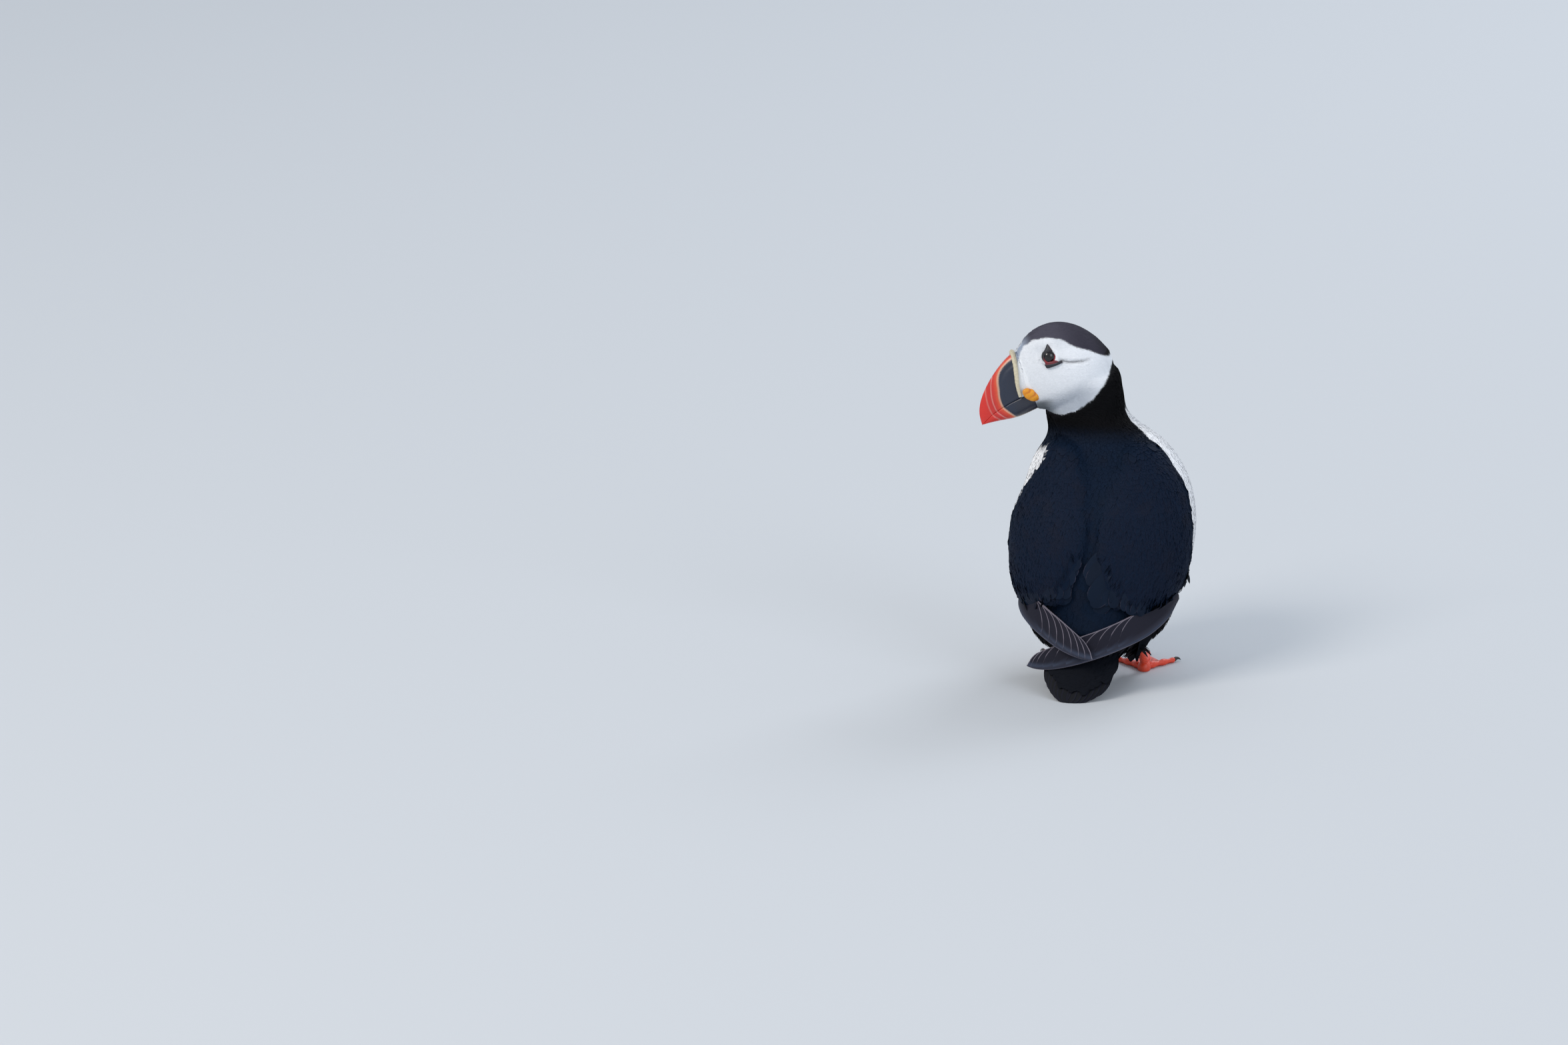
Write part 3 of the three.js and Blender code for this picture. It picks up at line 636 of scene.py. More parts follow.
@dataclass
class Workshop:
    """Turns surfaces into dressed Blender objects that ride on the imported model."""

    shift: Array
    made: dict[str, int] = field(default_factory=dict)

    @staticmethod
    def placed() -> "Workshop":
        """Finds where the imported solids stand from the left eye, a whole ball in the solids."""
        low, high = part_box("eye_left")
        centre = (np.array(low) + np.array(high)) / 2 / MM
        return Workshop(centre - HEAD.out(HEAD.eye(Side.LEFT)))

    def mesh(self, name: str, surface: Surface, weld: bool = False) -> bpy.types.Object:
        """Makes an object from a surface, with its attributes, at the origin.

        Args:
            name: the piece's name.
            surface: points, faces and what they carry.
            weld: merges points that lie together, which closes poles and seams.

        Returns:
            The new object.
        """
        data = bpy.data.meshes.new(name)
        count = len(surface.faces)
        sides = surface.faces.shape[1]
        data.vertices.add(len(surface.points))
        data.vertices.foreach_set("co", ((surface.points + self.shift) * MM).astype(np.float32).ravel())
        data.loops.add(count * sides)
        data.loops.foreach_set("vertex_index", surface.faces.astype(np.int32).ravel())
        data.polygons.add(count)
        data.polygons.foreach_set("loop_start", np.arange(0, count * sides, sides, dtype=np.int32))
        data.update(calc_edges=True)
        data.polygons.foreach_set("use_smooth", np.ones(count, bool))
        if surface.tint is not None:
            paint(data, surface.tint)
        for title, values in (("OFBake", surface.bake), ("Vane", surface.vane)):
            if values is not None:
                layer = data.uv_layers.new(name=title)
                layer.data.foreach_set("uv", values[surface.faces.ravel()].astype(np.float32).ravel())
        if surface.facing is not None:
            # A face that is folded over shades as its other side does.
            corners = surface.facing[surface.faces]
            over = np.sum(corners * surface.face_directions()[:, None], axis=2, keepdims=True) < 0
            data.normals_split_custom_set(np.where(over, -corners, corners).reshape(-1, 3).astype(np.float32))
        made = added(name, data)
        if weld:
            self.weld(made)
        return made

    @staticmethod
    def weld(target: bpy.types.Object) -> None:
        """Merges points closer than a hundredth of a millimetre and turns faces outwards."""
        work = bmesh.new()
        work.from_mesh(target.data)
        bmesh.ops.remove_doubles(work, verts=work.verts, dist=0.01 * MM)
        bmesh.ops.recalc_face_normals(work, faces=work.faces)
        work.to_mesh(target.data)
        work.free()

    def add(self, name: str, surface: Surface, material: bpy.types.Material, slot: str,
            nodes: Sequence[str] = (), weld: bool = True) -> None:
        """Makes a piece from a surface and dresses it."""
        self.dress(self.mesh(name, surface, weld), material, slot, nodes)

    def dress(self, piece: bpy.types.Object, material: bpy.types.Material, slot: str,
              nodes: Sequence[str]) -> None:
        """Dresses a piece, puts it on the bird and hides the solids that it stands in for.

        Args:
            piece: the piece's object.
            material: its finish.
            slot: a name for its slot; not used.
            nodes: the solids that it stands in for.
        """
        piece.data.materials.append(material)
        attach(piece, "root")
        if nodes:
            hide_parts(*nodes)
        self.made[piece.name] = sum(len(p.vertices) - 2 for p in piece.data.polygons)
        LOG.info("%s: %d triangles", piece.name, self.made[piece.name])


# ------------------------------------------------------------------ finishes


@dataclass
class Recipe:
    """A material under construction, with short ways to add nodes and links."""

    name: str

    def __post_init__(self) -> None:
        """Starts from a bare Principled surface."""
        self.material = bpy.data.materials.new(self.name)
        self.material.use_nodes = True
        self.nodes = self.material.node_tree.nodes
        self.links = self.material.node_tree.links
        self.surface = next(n for n in self.nodes if n.type == "BSDF_PRINCIPLED")

    def add(self, kind: str, *values: object, **named: object) -> bpy.types.Node:
        """Adds a node with its settings and its inputs.

        Args:
            kind: the node's type after the word ShaderNode, such as Math.
            *values: inputs by place.
            **named: settings by their lower-case names and inputs by their capitalised ones, with underscores
                for spaces.

        Returns:
            The node.
        """
        node = self.nodes.new(f"ShaderNode{kind}")
        for key, value in named.items():
            if key.islower():
                setattr(node, key, value)
        by_name = {key.replace("_", " "): value for key, value in named.items() if not key.islower()}
        self.fill(node, {**dict(enumerate(values)), **by_name})
        return node

    def fill(self, node: bpy.types.Node, inputs: dict[object, object]) -> None:
        """Sets or links a node's inputs.

        Args:
            node: the node.
            inputs: for each place or name a value, a socket, or a node that gives its first output.
        """
        for spot, value in inputs.items():
            source = value.outputs[0] if isinstance(value, bpy.types.Node) else value
            if isinstance(source, bpy.types.NodeSocket):
                self.links.new(source, node.inputs[spot])
            else:
                node.inputs[spot].default_value = source

    def noise(self, size: float, detail: float = 3.0, stretch: Sequence[float] = (1, 1, 1)) -> bpy.types.Node:
        """Noise on the piece's own coordinates.

        Args:
            size: rough size of one patch in millimetres.
            detail: layers of finer noise.
            stretch: how much finer the pattern is along each axis.

        Returns:
            The node whose first output is the noise.
        """
        place = self.add("TexCoord").outputs["Object"]
        spread = self.add("Mapping", Vector=place, Scale=stretch)
        return self.add("TexNoise", Vector=spread, Scale=1 / MM / size, Detail=detail)

    def shaded_tint(self, shade: bpy.types.Node) -> bpy.types.NodeSocket:
        """The Tint attribute, made lighter or darker by a shade."""
        grey = self.add("CombineXYZ", shade, shade, shade)
        mixed = self.add("Mix", 1.0, data_type="RGBA", blend_type="MULTIPLY")
        self.fill(mixed, {6: self.add("VertexColor", layer_name="Tint"), 7: grey})
        return mixed.outputs[2]

    def finish(self, **inputs: object) -> bpy.types.Material:
        """Sets the Principled surface's inputs and hands the material over."""
        self.fill(self.surface, {key.replace("_", " "): value for key, value in inputs.items()})
        return self.material


KERATIN_IOR = 1.54


@dataclass(frozen=True)
class FeatherFinish:
    """Keratin feather vanes: matt, with fine barbs that run out from the shaft at a slant.

    Real barbs are finer than can be drawn, so barb, their spacing in millimetres, is coarser here.
    """

    name: str
    barb: float
    contrast: float
    roughness: float
    gloss: float = 0.12
    slant: float = 0.9
    wander: float = 2.2
    relief: float = 0.04

    def material(self) -> bpy.types.Material:
        """The Tint attribute, shaded by barbs on the Vane map, across (u) and along (v) in millimetres."""
        r = Recipe(self.name)
        parts = r.add("SeparateXYZ", r.add("UVMap", uv_map="Vane"))
        aside = r.add("Math", parts.outputs[0], operation="ABSOLUTE")
        back = r.add("Math", aside, self.slant, operation="MULTIPLY")
        slanted = r.add("Math", parts.outputs[1], back, operation="SUBTRACT")
        turns = r.add("Math", slanted, 2 * math.pi / self.barb, operation="MULTIPLY")
        wobble = r.add("Math", r.noise(self.wander, 2.0), 6.0, operation="MULTIPLY")
        phase = r.add("Math", turns, wobble, operation="ADD")
        barbs = r.add("Math", r.add("Math", phase, operation="SINE"), 0.5, 0.5, operation="MULTIPLY_ADD")
        shade = r.add("Math", barbs, self.contrast, 1.0 - 0.6 * self.contrast, operation="MULTIPLY_ADD")
        return r.finish(
            Base_Color=r.shaded_tint(shade), Roughness=self.roughness, Specular_IOR_Level=self.gloss,
            Sheen_Weight=0.0, Sheen_Roughness=0.5, IOR=KERATIN_IOR,
            Normal=r.add("Bump", Height=barbs, Distance=self.relief * MM, Strength=0.4))


@dataclass(frozen=True)
class DownFinish:
    """The down between the feathers: quite matt, in the markings' own colours, with soft relief."""

    name: str = "feathered_skin"
    grain: float = 1.6
    relief: float = 0.15
    roughness: float = 0.75
    gloss: float = 0.2

    def material(self) -> bpy.types.Material:
        """The Tint attribute over soft noise."""
        r = Recipe(self.name)
        return r.finish(
            Base_Color=r.add("VertexColor", layer_name="Tint"), Roughness=self.roughness,
            Specular_IOR_Level=self.gloss,
            Normal=r.add("Bump", Height=r.noise(self.grain), Distance=self.relief * MM, Strength=1.0))


@dataclass(frozen=True)
class HornFinish:
    """Horn, skin or cornea with its own colours in the Tint attribute."""

    name: str
    roughness: float
    coat: float = 0.0
    grain: float = 1.2
    relief: float = 0.05
    mottle: float = 0.12
    subsurface: float = 0.0
    stretch: tuple[float, float, float] = (1, 1, 1)
    patch: float = 4.0
    wear: float = 0.08

    def material(self) -> bpy.types.Material:
        """Tint varied by fine noise, which also gives the relief; wider patches break up the gloss."""
        r = Recipe(self.name)
        fine = r.noise(self.grain, 4.0, self.stretch)
        shade = r.add("Math", fine, 2 * self.mottle, 1.0 - self.mottle, operation="MULTIPLY_ADD")
        rough = r.add("Math", r.noise(self.patch, 2.0), 2 * self.wear, self.roughness - self.wear,
                      operation="MULTIPLY_ADD")
        return r.finish(
            Base_Color=r.shaded_tint(shade), Roughness=rough, Coat_Weight=self.coat, Coat_Roughness=0.08,
            Subsurface_Weight=self.subsurface, Subsurface_Scale=0.5 * MM, IOR=KERATIN_IOR,
            Normal=r.add("Bump", Height=fine, Distance=self.relief * MM, Strength=1.0))


# ------------------------------------------------------------------ markings


def outline_distance(points: Array, outline: Array) -> Array:
    """Signed distance from each 2-D point to a closed outline, positive inside.

    Args:
        points: rows of two values.
        outline: corners in order, rows of two values.

    Returns:
        One distance per point.
    """
    start, end = outline, np.roll(outline, -1, axis=0)
    edge = end - start
    offset = points[:, None] - start[None]
    t = np.clip(np.sum(offset * edge, axis=2) / np.maximum(np.sum(edge * edge, axis=1), TINY), 0, 1)
    gap = np.linalg.norm(offset - edge * t[..., None], axis=2).min(axis=1)
    above = (start[:, 1] > points[:, None, 1]) != (end[:, 1] > points[:, None, 1])
    rise = np.where(np.abs(edge[:, 1]) < TINY, TINY, edge[:, 1])
    cross = start[:, 0] + (points[:, None, 1] - start[:, 1]) / rise * edge[:, 0]
    inside = (np.sum(above & (points[:, None, 0] < cross), axis=1) % 2) == 1
    return np.where(inside, gap, -gap)


@dataclass(frozen=True)
class Markings:
    """Where each plumage colour lies. Skin and feathers both read it."""

    crown: str = "#514f5b"
    crown_rear: str = "#3b3944"
    crown_front: str = "#aab5c6"
    face: str = "#f0f3f7"
    # Painted shade for the pale face: a grey for its shaded parts and a darker grey under the chin.
    face_painted_shade: str = "#8793a3"
    chin_painted_shade: str = "#4d5356"
    neck: str = "#050508"
    throat: str = "#171419"
    # The mantle's navy is partly the plumage's own black and partly painted light: its blue gloss and the
    # blue sky light put into the colour.
    mantle: str = "#06172b"
    brown: str = "#161925"
    white: str = "#f8f9fb"
    flank: str = "#4a443f"
    thigh: str = "#0b0c11"
    crease_shade: str = "#343239"
    thigh_front: str = "#c9c8c4"
    rump: str = "#070b14"
    wisp: str = "#70757b"
    face_top: Pairs = (
        (20, 4.0), (17.8, 5.6), (14.9, 9.7), (11.8, 12.4), (6.1, 14.6), (-1.9, 14.4), (-9.4, 11.5),
        (-12.1, 9.3), (-14.3, 6.4), (-17.3, 3.7), (-23.9, -1.0), (-29.1, -6.4), (-33.7, -10.8),
        (-36.7, -11.9))
    face_low: Pairs = (
        (-35.8, -15.3), (-30.1, -19.6), (-24, -24), (-16.8, -28.6), (-10.4, -30.9), (-2.8, -33.7),
        (5.2, -33.5), (11.3, -31), (15.3, -27.7), (17.1, -24.2), (24, -18), (24, 4))
    crease: Pairs = (
        (-5.8, -0.2), (-10.1, -2.5), (-15.2, -4.0), (-20.6, -5.2), (-24.4, -4.9))
    # How far the crown's dark tongue reaches to the head's left and right of its middle, by y.
    tongue_left: Pairs = ((3, 30), (6, 7.5), (11.8, 5.6), (17.8, 4.8))
    tongue_right: Pairs = ((3, 30), (6, 6.9), (10, 1.2), (12, -1.0), (17.8, -1.5))
    # How far the left flank's white climbs over the wing's front border, in degrees by station.
    left_climb: Pairs = ((3.6, 0), (4.6, 5), (5.4, 9), (6.2, 7), (6.8, -2))
    # The station where white gives way to the collar, by angle round the body.
    collar_edge: Pairs = (
        (-180, 6.3), (-150, 6.5), (-120, 7.0), (-60, 7.3), (-25, 7.9), (0, 8.25), (60, 8.25), (120, 6.5),
        (140, 6.3), (180, 6.3))

    def face_share(self, local: Array) -> Array:
        """1 on the pale face and 0 off it, with a soft millimetre between.

        Args:
            local: places in the head's frame.

        Returns:
            One share per place.
        """
        outline = np.array(self.face_top + self.face_low)
        side_view = local[:, [1, 2]] + noise(local, 5.0, 3)[:, None] * 0.25
        share = smoothstep(-0.45, 0.45, outline_distance(side_view, outline))
        # In front of the eye the crown narrows to a tongue.
        x, y, z = local.T
        beyond = np.maximum(-read_pairs(self.tongue_left, y) - x, x - read_pairs(self.tongue_right, y))
        beside = smoothstep(-0.5, 0.5, beyond) * smoothstep(3, 6, z)
        return np.maximum(share, beside * smoothstep(24, 20, y))

    @staticmethod
    def head_level(local: Array) -> Array:
        """The head's own level value: near 1 on its surface, more outside it.

        Args:
            local: places in the head's frame.

        Returns:
            One level per place.
        """
        steps = np.linspace(0, len(HEAD.stations) - 1, 300)
        u = np.interp(local[:, 1], HEAD.read("y", steps), steps)
        wide = HEAD.read("wide", u)
        reach = np.where(local[:, 2] > wide, HEAD.read("top", u) - wide, wide - HEAD.read("low", u))
        beyond = np.maximum(np.abs(local[:, 1] + 6.5) - 30.5, 0) / 6
        across, up = local[:, 0] / HEAD.read("half", u), (local[:, 2] - wide) / reach
        return np.sqrt(across**2 + up**2) + beyond

    def crease_share(self, local: Array) -> Array:
        """How near a point is to the fold behind the eye.

        Args:
            local: places in the head's frame.

        Returns:
            1 in the fold, falling to 0 beside it.
        """
        line, _ = smooth_path(self.crease, 24)
        gap = np.linalg.norm(local[:, None, 1:] - line[None], axis=2)
        nearest = np.argmin(gap, axis=1)
        fade = 1 - smoothstep(0.45, 1.0, nearest / (len(line) - 1))
        return np.exp(-((gap.min(axis=1) / 0.9) ** 2)) * fade

    def head_tint(self, local: Array) -> Array:
        """Crown, pale face with its painted grey shade, and the dark front of the neck.

        Args:
            local: places in the head's frame.

        Returns:
            One linear colour per place.
        """
        y, z = local[:, 1], local[:, 2]
        crown = mix(linear(self.crown), linear(self.crown_rear), smoothstep(-4, -24, y))
        crown = mix(crown, linear(self.crown_front), smoothstep(5, 14, y))
        crown = mix(crown, linear(self.neck), smoothstep(-27, -38, y) * 0.85)
        face = plain(self.face, len(local))
        # Painted shade: grey on the lower cheek and the chin where the face turns under, softer grey behind
        # and before the eye, and dark grey in the fold behind it.
        lower_cheek = smoothstep(-15, -27, z + 0.12 * y) * smoothstep(-26, -8, y)
        behind_eye = smoothstep(-2, 8, z - 4) * smoothstep(-2, -9, y)
        chin_painted_shade = smoothstep(4, 13, y) * smoothstep(-19.5, -23.5, z)
        before_eye = np.exp(-(((y - 3) / 5) ** 2) - ((z - 9.5) / 3.0) ** 2)
        for colour, share in ((self.face_painted_shade, 0.62 * lower_cheek), (self.face_painted_shade, 0.22 * behind_eye),
                              (self.chin_painted_shade, 0.8 * chin_painted_shade), (self.face_painted_shade, 0.18 * before_eye),
                              (self.crease_shade, 0.72 * self.crease_share(local))):
            face = mix(face, linear(colour), share)
        throat = mix(linear(self.neck), linear(self.throat), smoothstep(-12, 12, y))
        return mix(np.where((z > -8)[:, None], crown, throat), face, self.face_share(local))

    def body_tint(self, points: Array) -> Array:
        """White breast, belly and flanks below a black collar; blue-black mantle, rump and wings, the
        mantle's blue partly painted sheen.

        Args:
            points: places in millimetres.

        Returns:
            One linear colour per place.
        """
        station, degrees = BODY.locate(points)
        on_right = np.abs(degrees) <= 90
        # The angle from the nearer side, rising towards the back.
        from_side = np.where(on_right, degrees, np.where(degrees > 90, 180 - degrees, -(180 + degrees)))
        ripple = noise(points, 9.0, 5) * 1.6
        front = np.where(on_right, WING.front(Side.RIGHT, station), WING.front(Side.LEFT, station))
        front = front - np.where(on_right, 27.0, 0.0) * np.maximum(station - 7.0, 0)
        front = front + np.where(on_right, 0.0, read_pairs(self.left_climb, station))
        white = smoothstep(1.2, -0.8, from_side - front + 0.6 * ripple)
        # White climbs the right side of the neck and stops lower on the left, where the neck bends over it.
        top = read_pairs(self.collar_edge, degrees)
        collar = smoothstep(top + 0.2, top - 0.2, station + 0.05 * ripple)
        # The vent and the hind flanks are painted black: on the hind flanks this is their own dusky colour,
        # on the vent it is painted shade under the tail over its white feathers; white belly shows only in
        # front of the thighs.
        thigh = 13 * smoothstep(12, 22, np.abs(points[:, 0]))
        hind = smoothstep(-9.0, 2.0, points[:, 1] + ripple - 0.25 * np.minimum(points[:, 2] - 45, 0) - thigh)
        low = smoothstep(2.55, 2.15, station + 0.04 * ripple)
        white = white * collar * (1 - low * (1 - hind))
        dark = mix(linear(self.mantle), linear(self.neck), smoothstep(6.4, 7.8, station))
        warm = smoothstep(0.1, 0.9, noise(points, 16.0, 11)) * smoothstep(7.5, 5.0, station)
        dark = mix(dark, linear(self.brown), 0.35 * warm)
        dusky = smoothstep(20, 42, np.abs(points[:, 0])) * smoothstep(2.7, 1.8, station)
        dusky = dusky * smoothstep(-45, -20, from_side)
        pale = mix(linear(self.white), linear(self.flank), 0.85 * dusky)
        return mix(dark, pale, white)

    def tint(self, points: Array) -> Array:
        """The whole bird's markings.

        Args:
            points: places in millimetres.

        Returns:
            One linear colour per place.
        """
        local = HEAD.back(points)
        share = smoothstep(1.28, 1.12, self.head_level(local)) * smoothstep(148, 153, points[:, 2])
        on_face = self.face_share(local) * (np.abs(local[:, 0]) > 6) > 0.5
        share = np.where((share > 0) & on_face, 1.0, share)
        return mix(self.body_tint(points), self.head_tint(local), share)


MARKINGS = Markings()


# ------------------------------------------------------------------ skin


@dataclass
class SkinField:
    """The nearest skin point for each cell of a grid, so that feathers can be laid along the skin."""

    points: Array
    normals: Array
    low: Array
    cell: float
    nearest: Array

    @staticmethod
    def around(points: Array, normals: Array, cell: float = 2.0, reach: float = 14.0) -> "SkinField":
        """Fills the grid outwards from the skin, one layer of cells at a time.

        Args:
            points: skin points in millimetres.
            normals: outward directions there.
            cell: size of a cell.
            reach: how far the grid goes beyond the skin.

        Returns:
            The field.
        """
        low = points.min(axis=0) - reach
        shape = tuple(np.ceil((points.max(axis=0) + reach - low) / cell).astype(int) + 1)
        nearest = np.full(shape, -1, np.int32)
        spot = np.floor((points - low) / cell).astype(int)
        nearest[tuple(spot.T)] = np.arange(len(points))
        cells = np.stack(np.meshgrid(*[np.arange(n) for n in shape], indexing="ij"), axis=-1)
        middles = low + (cells + 0.5) * cell
        gap = np.full(shape, np.inf)
        known = nearest >= 0
        gap[known] = np.linalg.norm(middles[known] - points[nearest[known]], axis=1)
        for _ in range(int(reach / cell) + 1):
            for axis in range(3):
                for way in (1, -1):
                    offered = np.roll(nearest, way, axis=axis)
                    rows = np.nonzero(offered >= 0)
                    distance = np.linalg.norm(middles[rows] - points[offered[rows]], axis=1)
                    better = distance < gap[rows]
                    spots = tuple(r[better] for r in rows)
                    nearest[spots], gap[spots] = offered[rows][better], distance[better]
        return SkinField(points, normals, low, cell, nearest)

    def read(self, places: Array) -> tuple[Array, Array]:
        """Reads the field.

        Args:
            places: in millimetres, in any shape of array.

        Returns:
            Height above the skin and outward direction for each place.
        """
        flat = places.reshape(-1, 3)
        spot = np.floor((flat - self.low) / self.cell).astype(int)
        spot = np.clip(spot, 0, np.array(self.nearest.shape) - 1)
        index = np.maximum(self.nearest[tuple(spot.T)], 0)
        way = self.normals[index]
        height = np.sum((flat - self.points[index]) * way, axis=1)
        return height.reshape(places.shape[:-1]), way.reshape(places.shape)

    def drop(self, places: Array, height: Array) -> tuple[Array, Array]:
        """Moves places along the outward direction, in two steps.

        Args:
            places: in millimetres.
            height: the wanted height above the skin for each.

        Returns:
            The moved places and the outward direction at each.
        """
        for _ in range(2):
            now, way = self.read(places)
            places = places + way * (height - now)[..., None]
        return places, way


@dataclass
class Skin:
    """One closed skin over head, neck, trunk, wings and thighs, with the folds round the eyes."""

    shop: Workshop
    body_coat: float = 2.1
    root_coat: float = 1.2
    neck_coat: float = 1.6
    head_coat: float = 1.25
    wing_coat: float = 1.7
    wing_depth: float = 3.0
    voxel: float = 1.3
    nodes: tuple[str, ...] = (
        "head", "neck", "trunk", "thigh_right", "thigh_left", "wing_right_coverts", "wing_left_coverts",
        "wing_right_secondaries", "wing_left_secondaries")

    def shells(self) -> list[Surface]:
        """Every form of the body, drawn in by the depth of its coat."""
        station = np.linspace(0, 11, 64)[:, None]
        degrees = np.linspace(0, 360, 72, endpoint=False)[None, :] - 180
        place = BODY.point(station, degrees)
        coats = [self.root_coat, self.body_coat, self.body_coat, self.neck_coat]
        trim = np.interp(station, [0, 1, 7, 8.5], coats)
        body = place - BODY.normal(station, degrees) * np.broadcast_to(trim, place.shape[:2])[..., None]
        parts = [Surface.capped(body)]
        u = np.linspace(0, len(HEAD.stations) - 1, 44)[:, None]
        around = np.linspace(0, 360, 56, endpoint=False)[None, :] - 180
        head = HEAD.point(u, around)
        outward = -Surface.grid(head, wrap=True).normals().reshape(head.shape)
        from_middle = head - head.mean(axis=1, keepdims=True)
        outward *= np.sign(np.sum(outward * from_middle, axis=2, keepdims=True))
        parts.append(Surface.capped(HEAD.out(head - outward * self.head_coat)))
        for side in Side:
            outer, inner = WING.shell(BODY, side, 50, 26)
            way = unit(outer - inner)
            under = (inner - way * self.wing_depth)[:, ::-1]
            parts.append(Surface.capped(np.concatenate([outer - way * self.wing_coat, under], axis=1)))
            path, _, across, out, size = THIGHS[side].sections(side, 20)
            parts.append(carried(path, across, out, size, size * 1.12, 24))
        return parts

    def build(self) -> SkinField:
        """Fuses the shells into one even mesh, sinks the folds, and colours and dresses it.

        Returns:
            The field that feathers are laid in.
        """
        raw = self.shop.mesh("skin_shells", Surface.joined(self.shells()), weld=True)
        fuse = raw.modifiers.new("fuse", "REMESH")
        fuse.mode, fuse.voxel_size, fuse.use_smooth_shade = "VOXEL", self.voxel * MM, True
        ease = raw.modifiers.new("ease", "SMOOTH")
        ease.factor, ease.iterations = 0.5, 6
        shape = bpy.data.meshes.new_from_object(raw.evaluated_get(bpy.context.evaluated_depsgraph_get()))
        bpy.data.objects.remove(raw)
        shape.name = "plumage_skin"
        points = self.column(shape.vertices, "co") / MM - self.shop.shift
        points = points + self.column(shape.vertex_normals, "vector") * self.folds(points)[:, None]
        shape.vertices.foreach_set("co", ((points + self.shop.shift) * MM).astype(np.float32).ravel())
        paint(shape, MARKINGS.tint(points))
        shape.update()
        self.shop.dress(added("plumage_skin", shape), DownFinish().material(), "body_plumage", self.nodes)
        return SkinField.around(points, self.column(shape.vertex_normals, "vector"))

    @staticmethod
    def column(rows: bpy.types.bpy_prop_collection, name: str) -> Array:
        """Three numbers for each row of a mesh's collection."""
        flat = np.empty(len(rows) * 3, np.float32)
        rows.foreach_get(name, flat)
        return flat.reshape(-1, 3).astype(float)

    @staticmethod
    def folds(points: Array) -> Array:
        """Height of the folds: a socket at each eye, a raised lid round it, and a crease behind it.

        Args:
            points: places on the skin.

        Returns:
            One height per place.
        """
        local = HEAD.back(points)
        on_head = MARKINGS.head_level(local) < 1.2
        eye = np.hypot(local[:, 1], local[:, 2] - HEAD.eye_height)
        side = np.abs(local[:, 0]) > 7
        socket = -0.7 * np.exp(-((eye / 2.6) ** 2)) + 0.55 * np.exp(-(((eye - 4.4) / 1.1) ** 2))
        crease = -1.0 * MARKINGS.crease_share(local)
        return np.where(on_head & side, socket + crease, 0.0)


# ------------------------------------------------------------------ feather coat


@dataclass(frozen=True)
class TailForm:
    """The tail: a dished fan with a round end, resting on the floor."""

    length: float = 53.0
    half_root: float = 13.0
    half_end: float = 22.0
    dish: float = 5.0
    root: tuple[float, float, float] = (0.0, -41.0, 39.0)
    drop: float = 51.0
    swing: float = 12.0

    @property
    def turn(self) -> Array:
        """Columns are across, along and out from the tail's upper face, in the bird's frame."""
        drop, swing = math.radians(self.drop), math.radians(self.swing)
        along = np.array([0, -math.cos(drop), -math.sin(drop)])
        out = np.array([0, -math.sin(drop), math.cos(drop)])
        basis = np.stack([np.array([1.0, 0, 0]), along, out], axis=1)
        c, s = math.cos(swing), math.sin(swing)
        return basis @ np.array([[c, -s, 0], [s, c, 0], [0, 0, 1]])

    def point(self, q: Array, t: Array, height: Array) -> Array:
        """The fan, drawn down at its sides and shorter there by the square of q.

        Args:
            q: place across it, from -1 to 1.
            t: place along it, from 0 to 1.
            height: distance off its middle sheet.

        Returns:
            Points in millimetres, none under the floor.
        """
        q, t, height = np.broadcast_arrays(*(np.asarray(v, float) for v in (q, t, height)))
        widening = np.sin(np.pi / 2 * np.minimum(1, t * 1.15))
        half = self.half_root + (self.half_end - self.half_root) * widening
        reach = self.length * (1 - 0.36 * q * q)
        dish = -self.dish * q * q * (1.2 - 0.4 * t)
        local = np.stack([q * half, reach * t, dish + height], axis=-1)
        placed = local @ self.turn.T + np.array(self.root)
        placed[..., 2] = np.maximum(placed[..., 2], 0.35)
        return placed


TAIL = TailForm()


@dataclass(frozen=True)
class Vane:
    """One kind of contour feather, in millimetres."""

    length: float
    width: float
    lift: float
    rows: int = 4
    columns: int = 5
    tip: float = 0.28
    fray: float = 0.05
    camber: float = 0.25
    turn: float = 8.0
    taper: float = 0.75
    edge: float = 1.0
    variety: float = 0.1
    tone: float = 0.05
    rim: float = 0.75
    bend: float = 90.0
    rise: float = 0.0
    crisp: bool = False
    soft: float = 0.4


def unwrap(points: Array) -> Array:
    """Places on a flat map of the skin: angle round the spine across, height up.

    Args:
        points: places in millimetres.

    Returns:
        Two values from 0 to 1 for each place.
    """
    middle_x = np.interp(points[:, 2], [60, 140, 160, 195], [0, -2, -15, -33])
    middle_y = np.interp(points[:, 2], [20, 60, 100, 150], [-30, -18, 5, 14])
    angle = np.arctan2(points[:, 1] - middle_y, points[:, 0] - middle_x)
    margin, span, tallest = 0.02, 0.955, 236.0
    around, up = angle / (2 * np.pi) + 0.5, span * points[:, 2] / tallest
    return np.stack([margin + span * around, margin + up], axis=-1)


def lie(points: Array) -> Array:
    """Direction in which feathers point: back over the head, down the body, out along the tail.

    Args:
        points: places in millimetres.

    Returns:
        One direction per place.
    """
    station, degrees = BODY.locate(points)
    flow = unit(BODY.point(station - 0.12, degrees) - BODY.point(station + 0.12, degrees))
    flow = mix(flow, TAIL.turn[:, 1], smoothstep(1.9, 0.9, station))
    local = HEAD.back(points)
    inwards = -0.12 * np.sign(local[:, 0]) * smoothstep(8, -10, local[:, 2])
    ones = np.ones(len(points))
    back = unit(np.stack([inwards, -ones, -0.35 * ones], axis=1)) @ HEAD.turn.T
    head = smoothstep(1.6, 1.15, MARKINGS.head_level(local)) * smoothstep(-36, -18, local[:, 1])
    return unit(mix(flow, back, head))


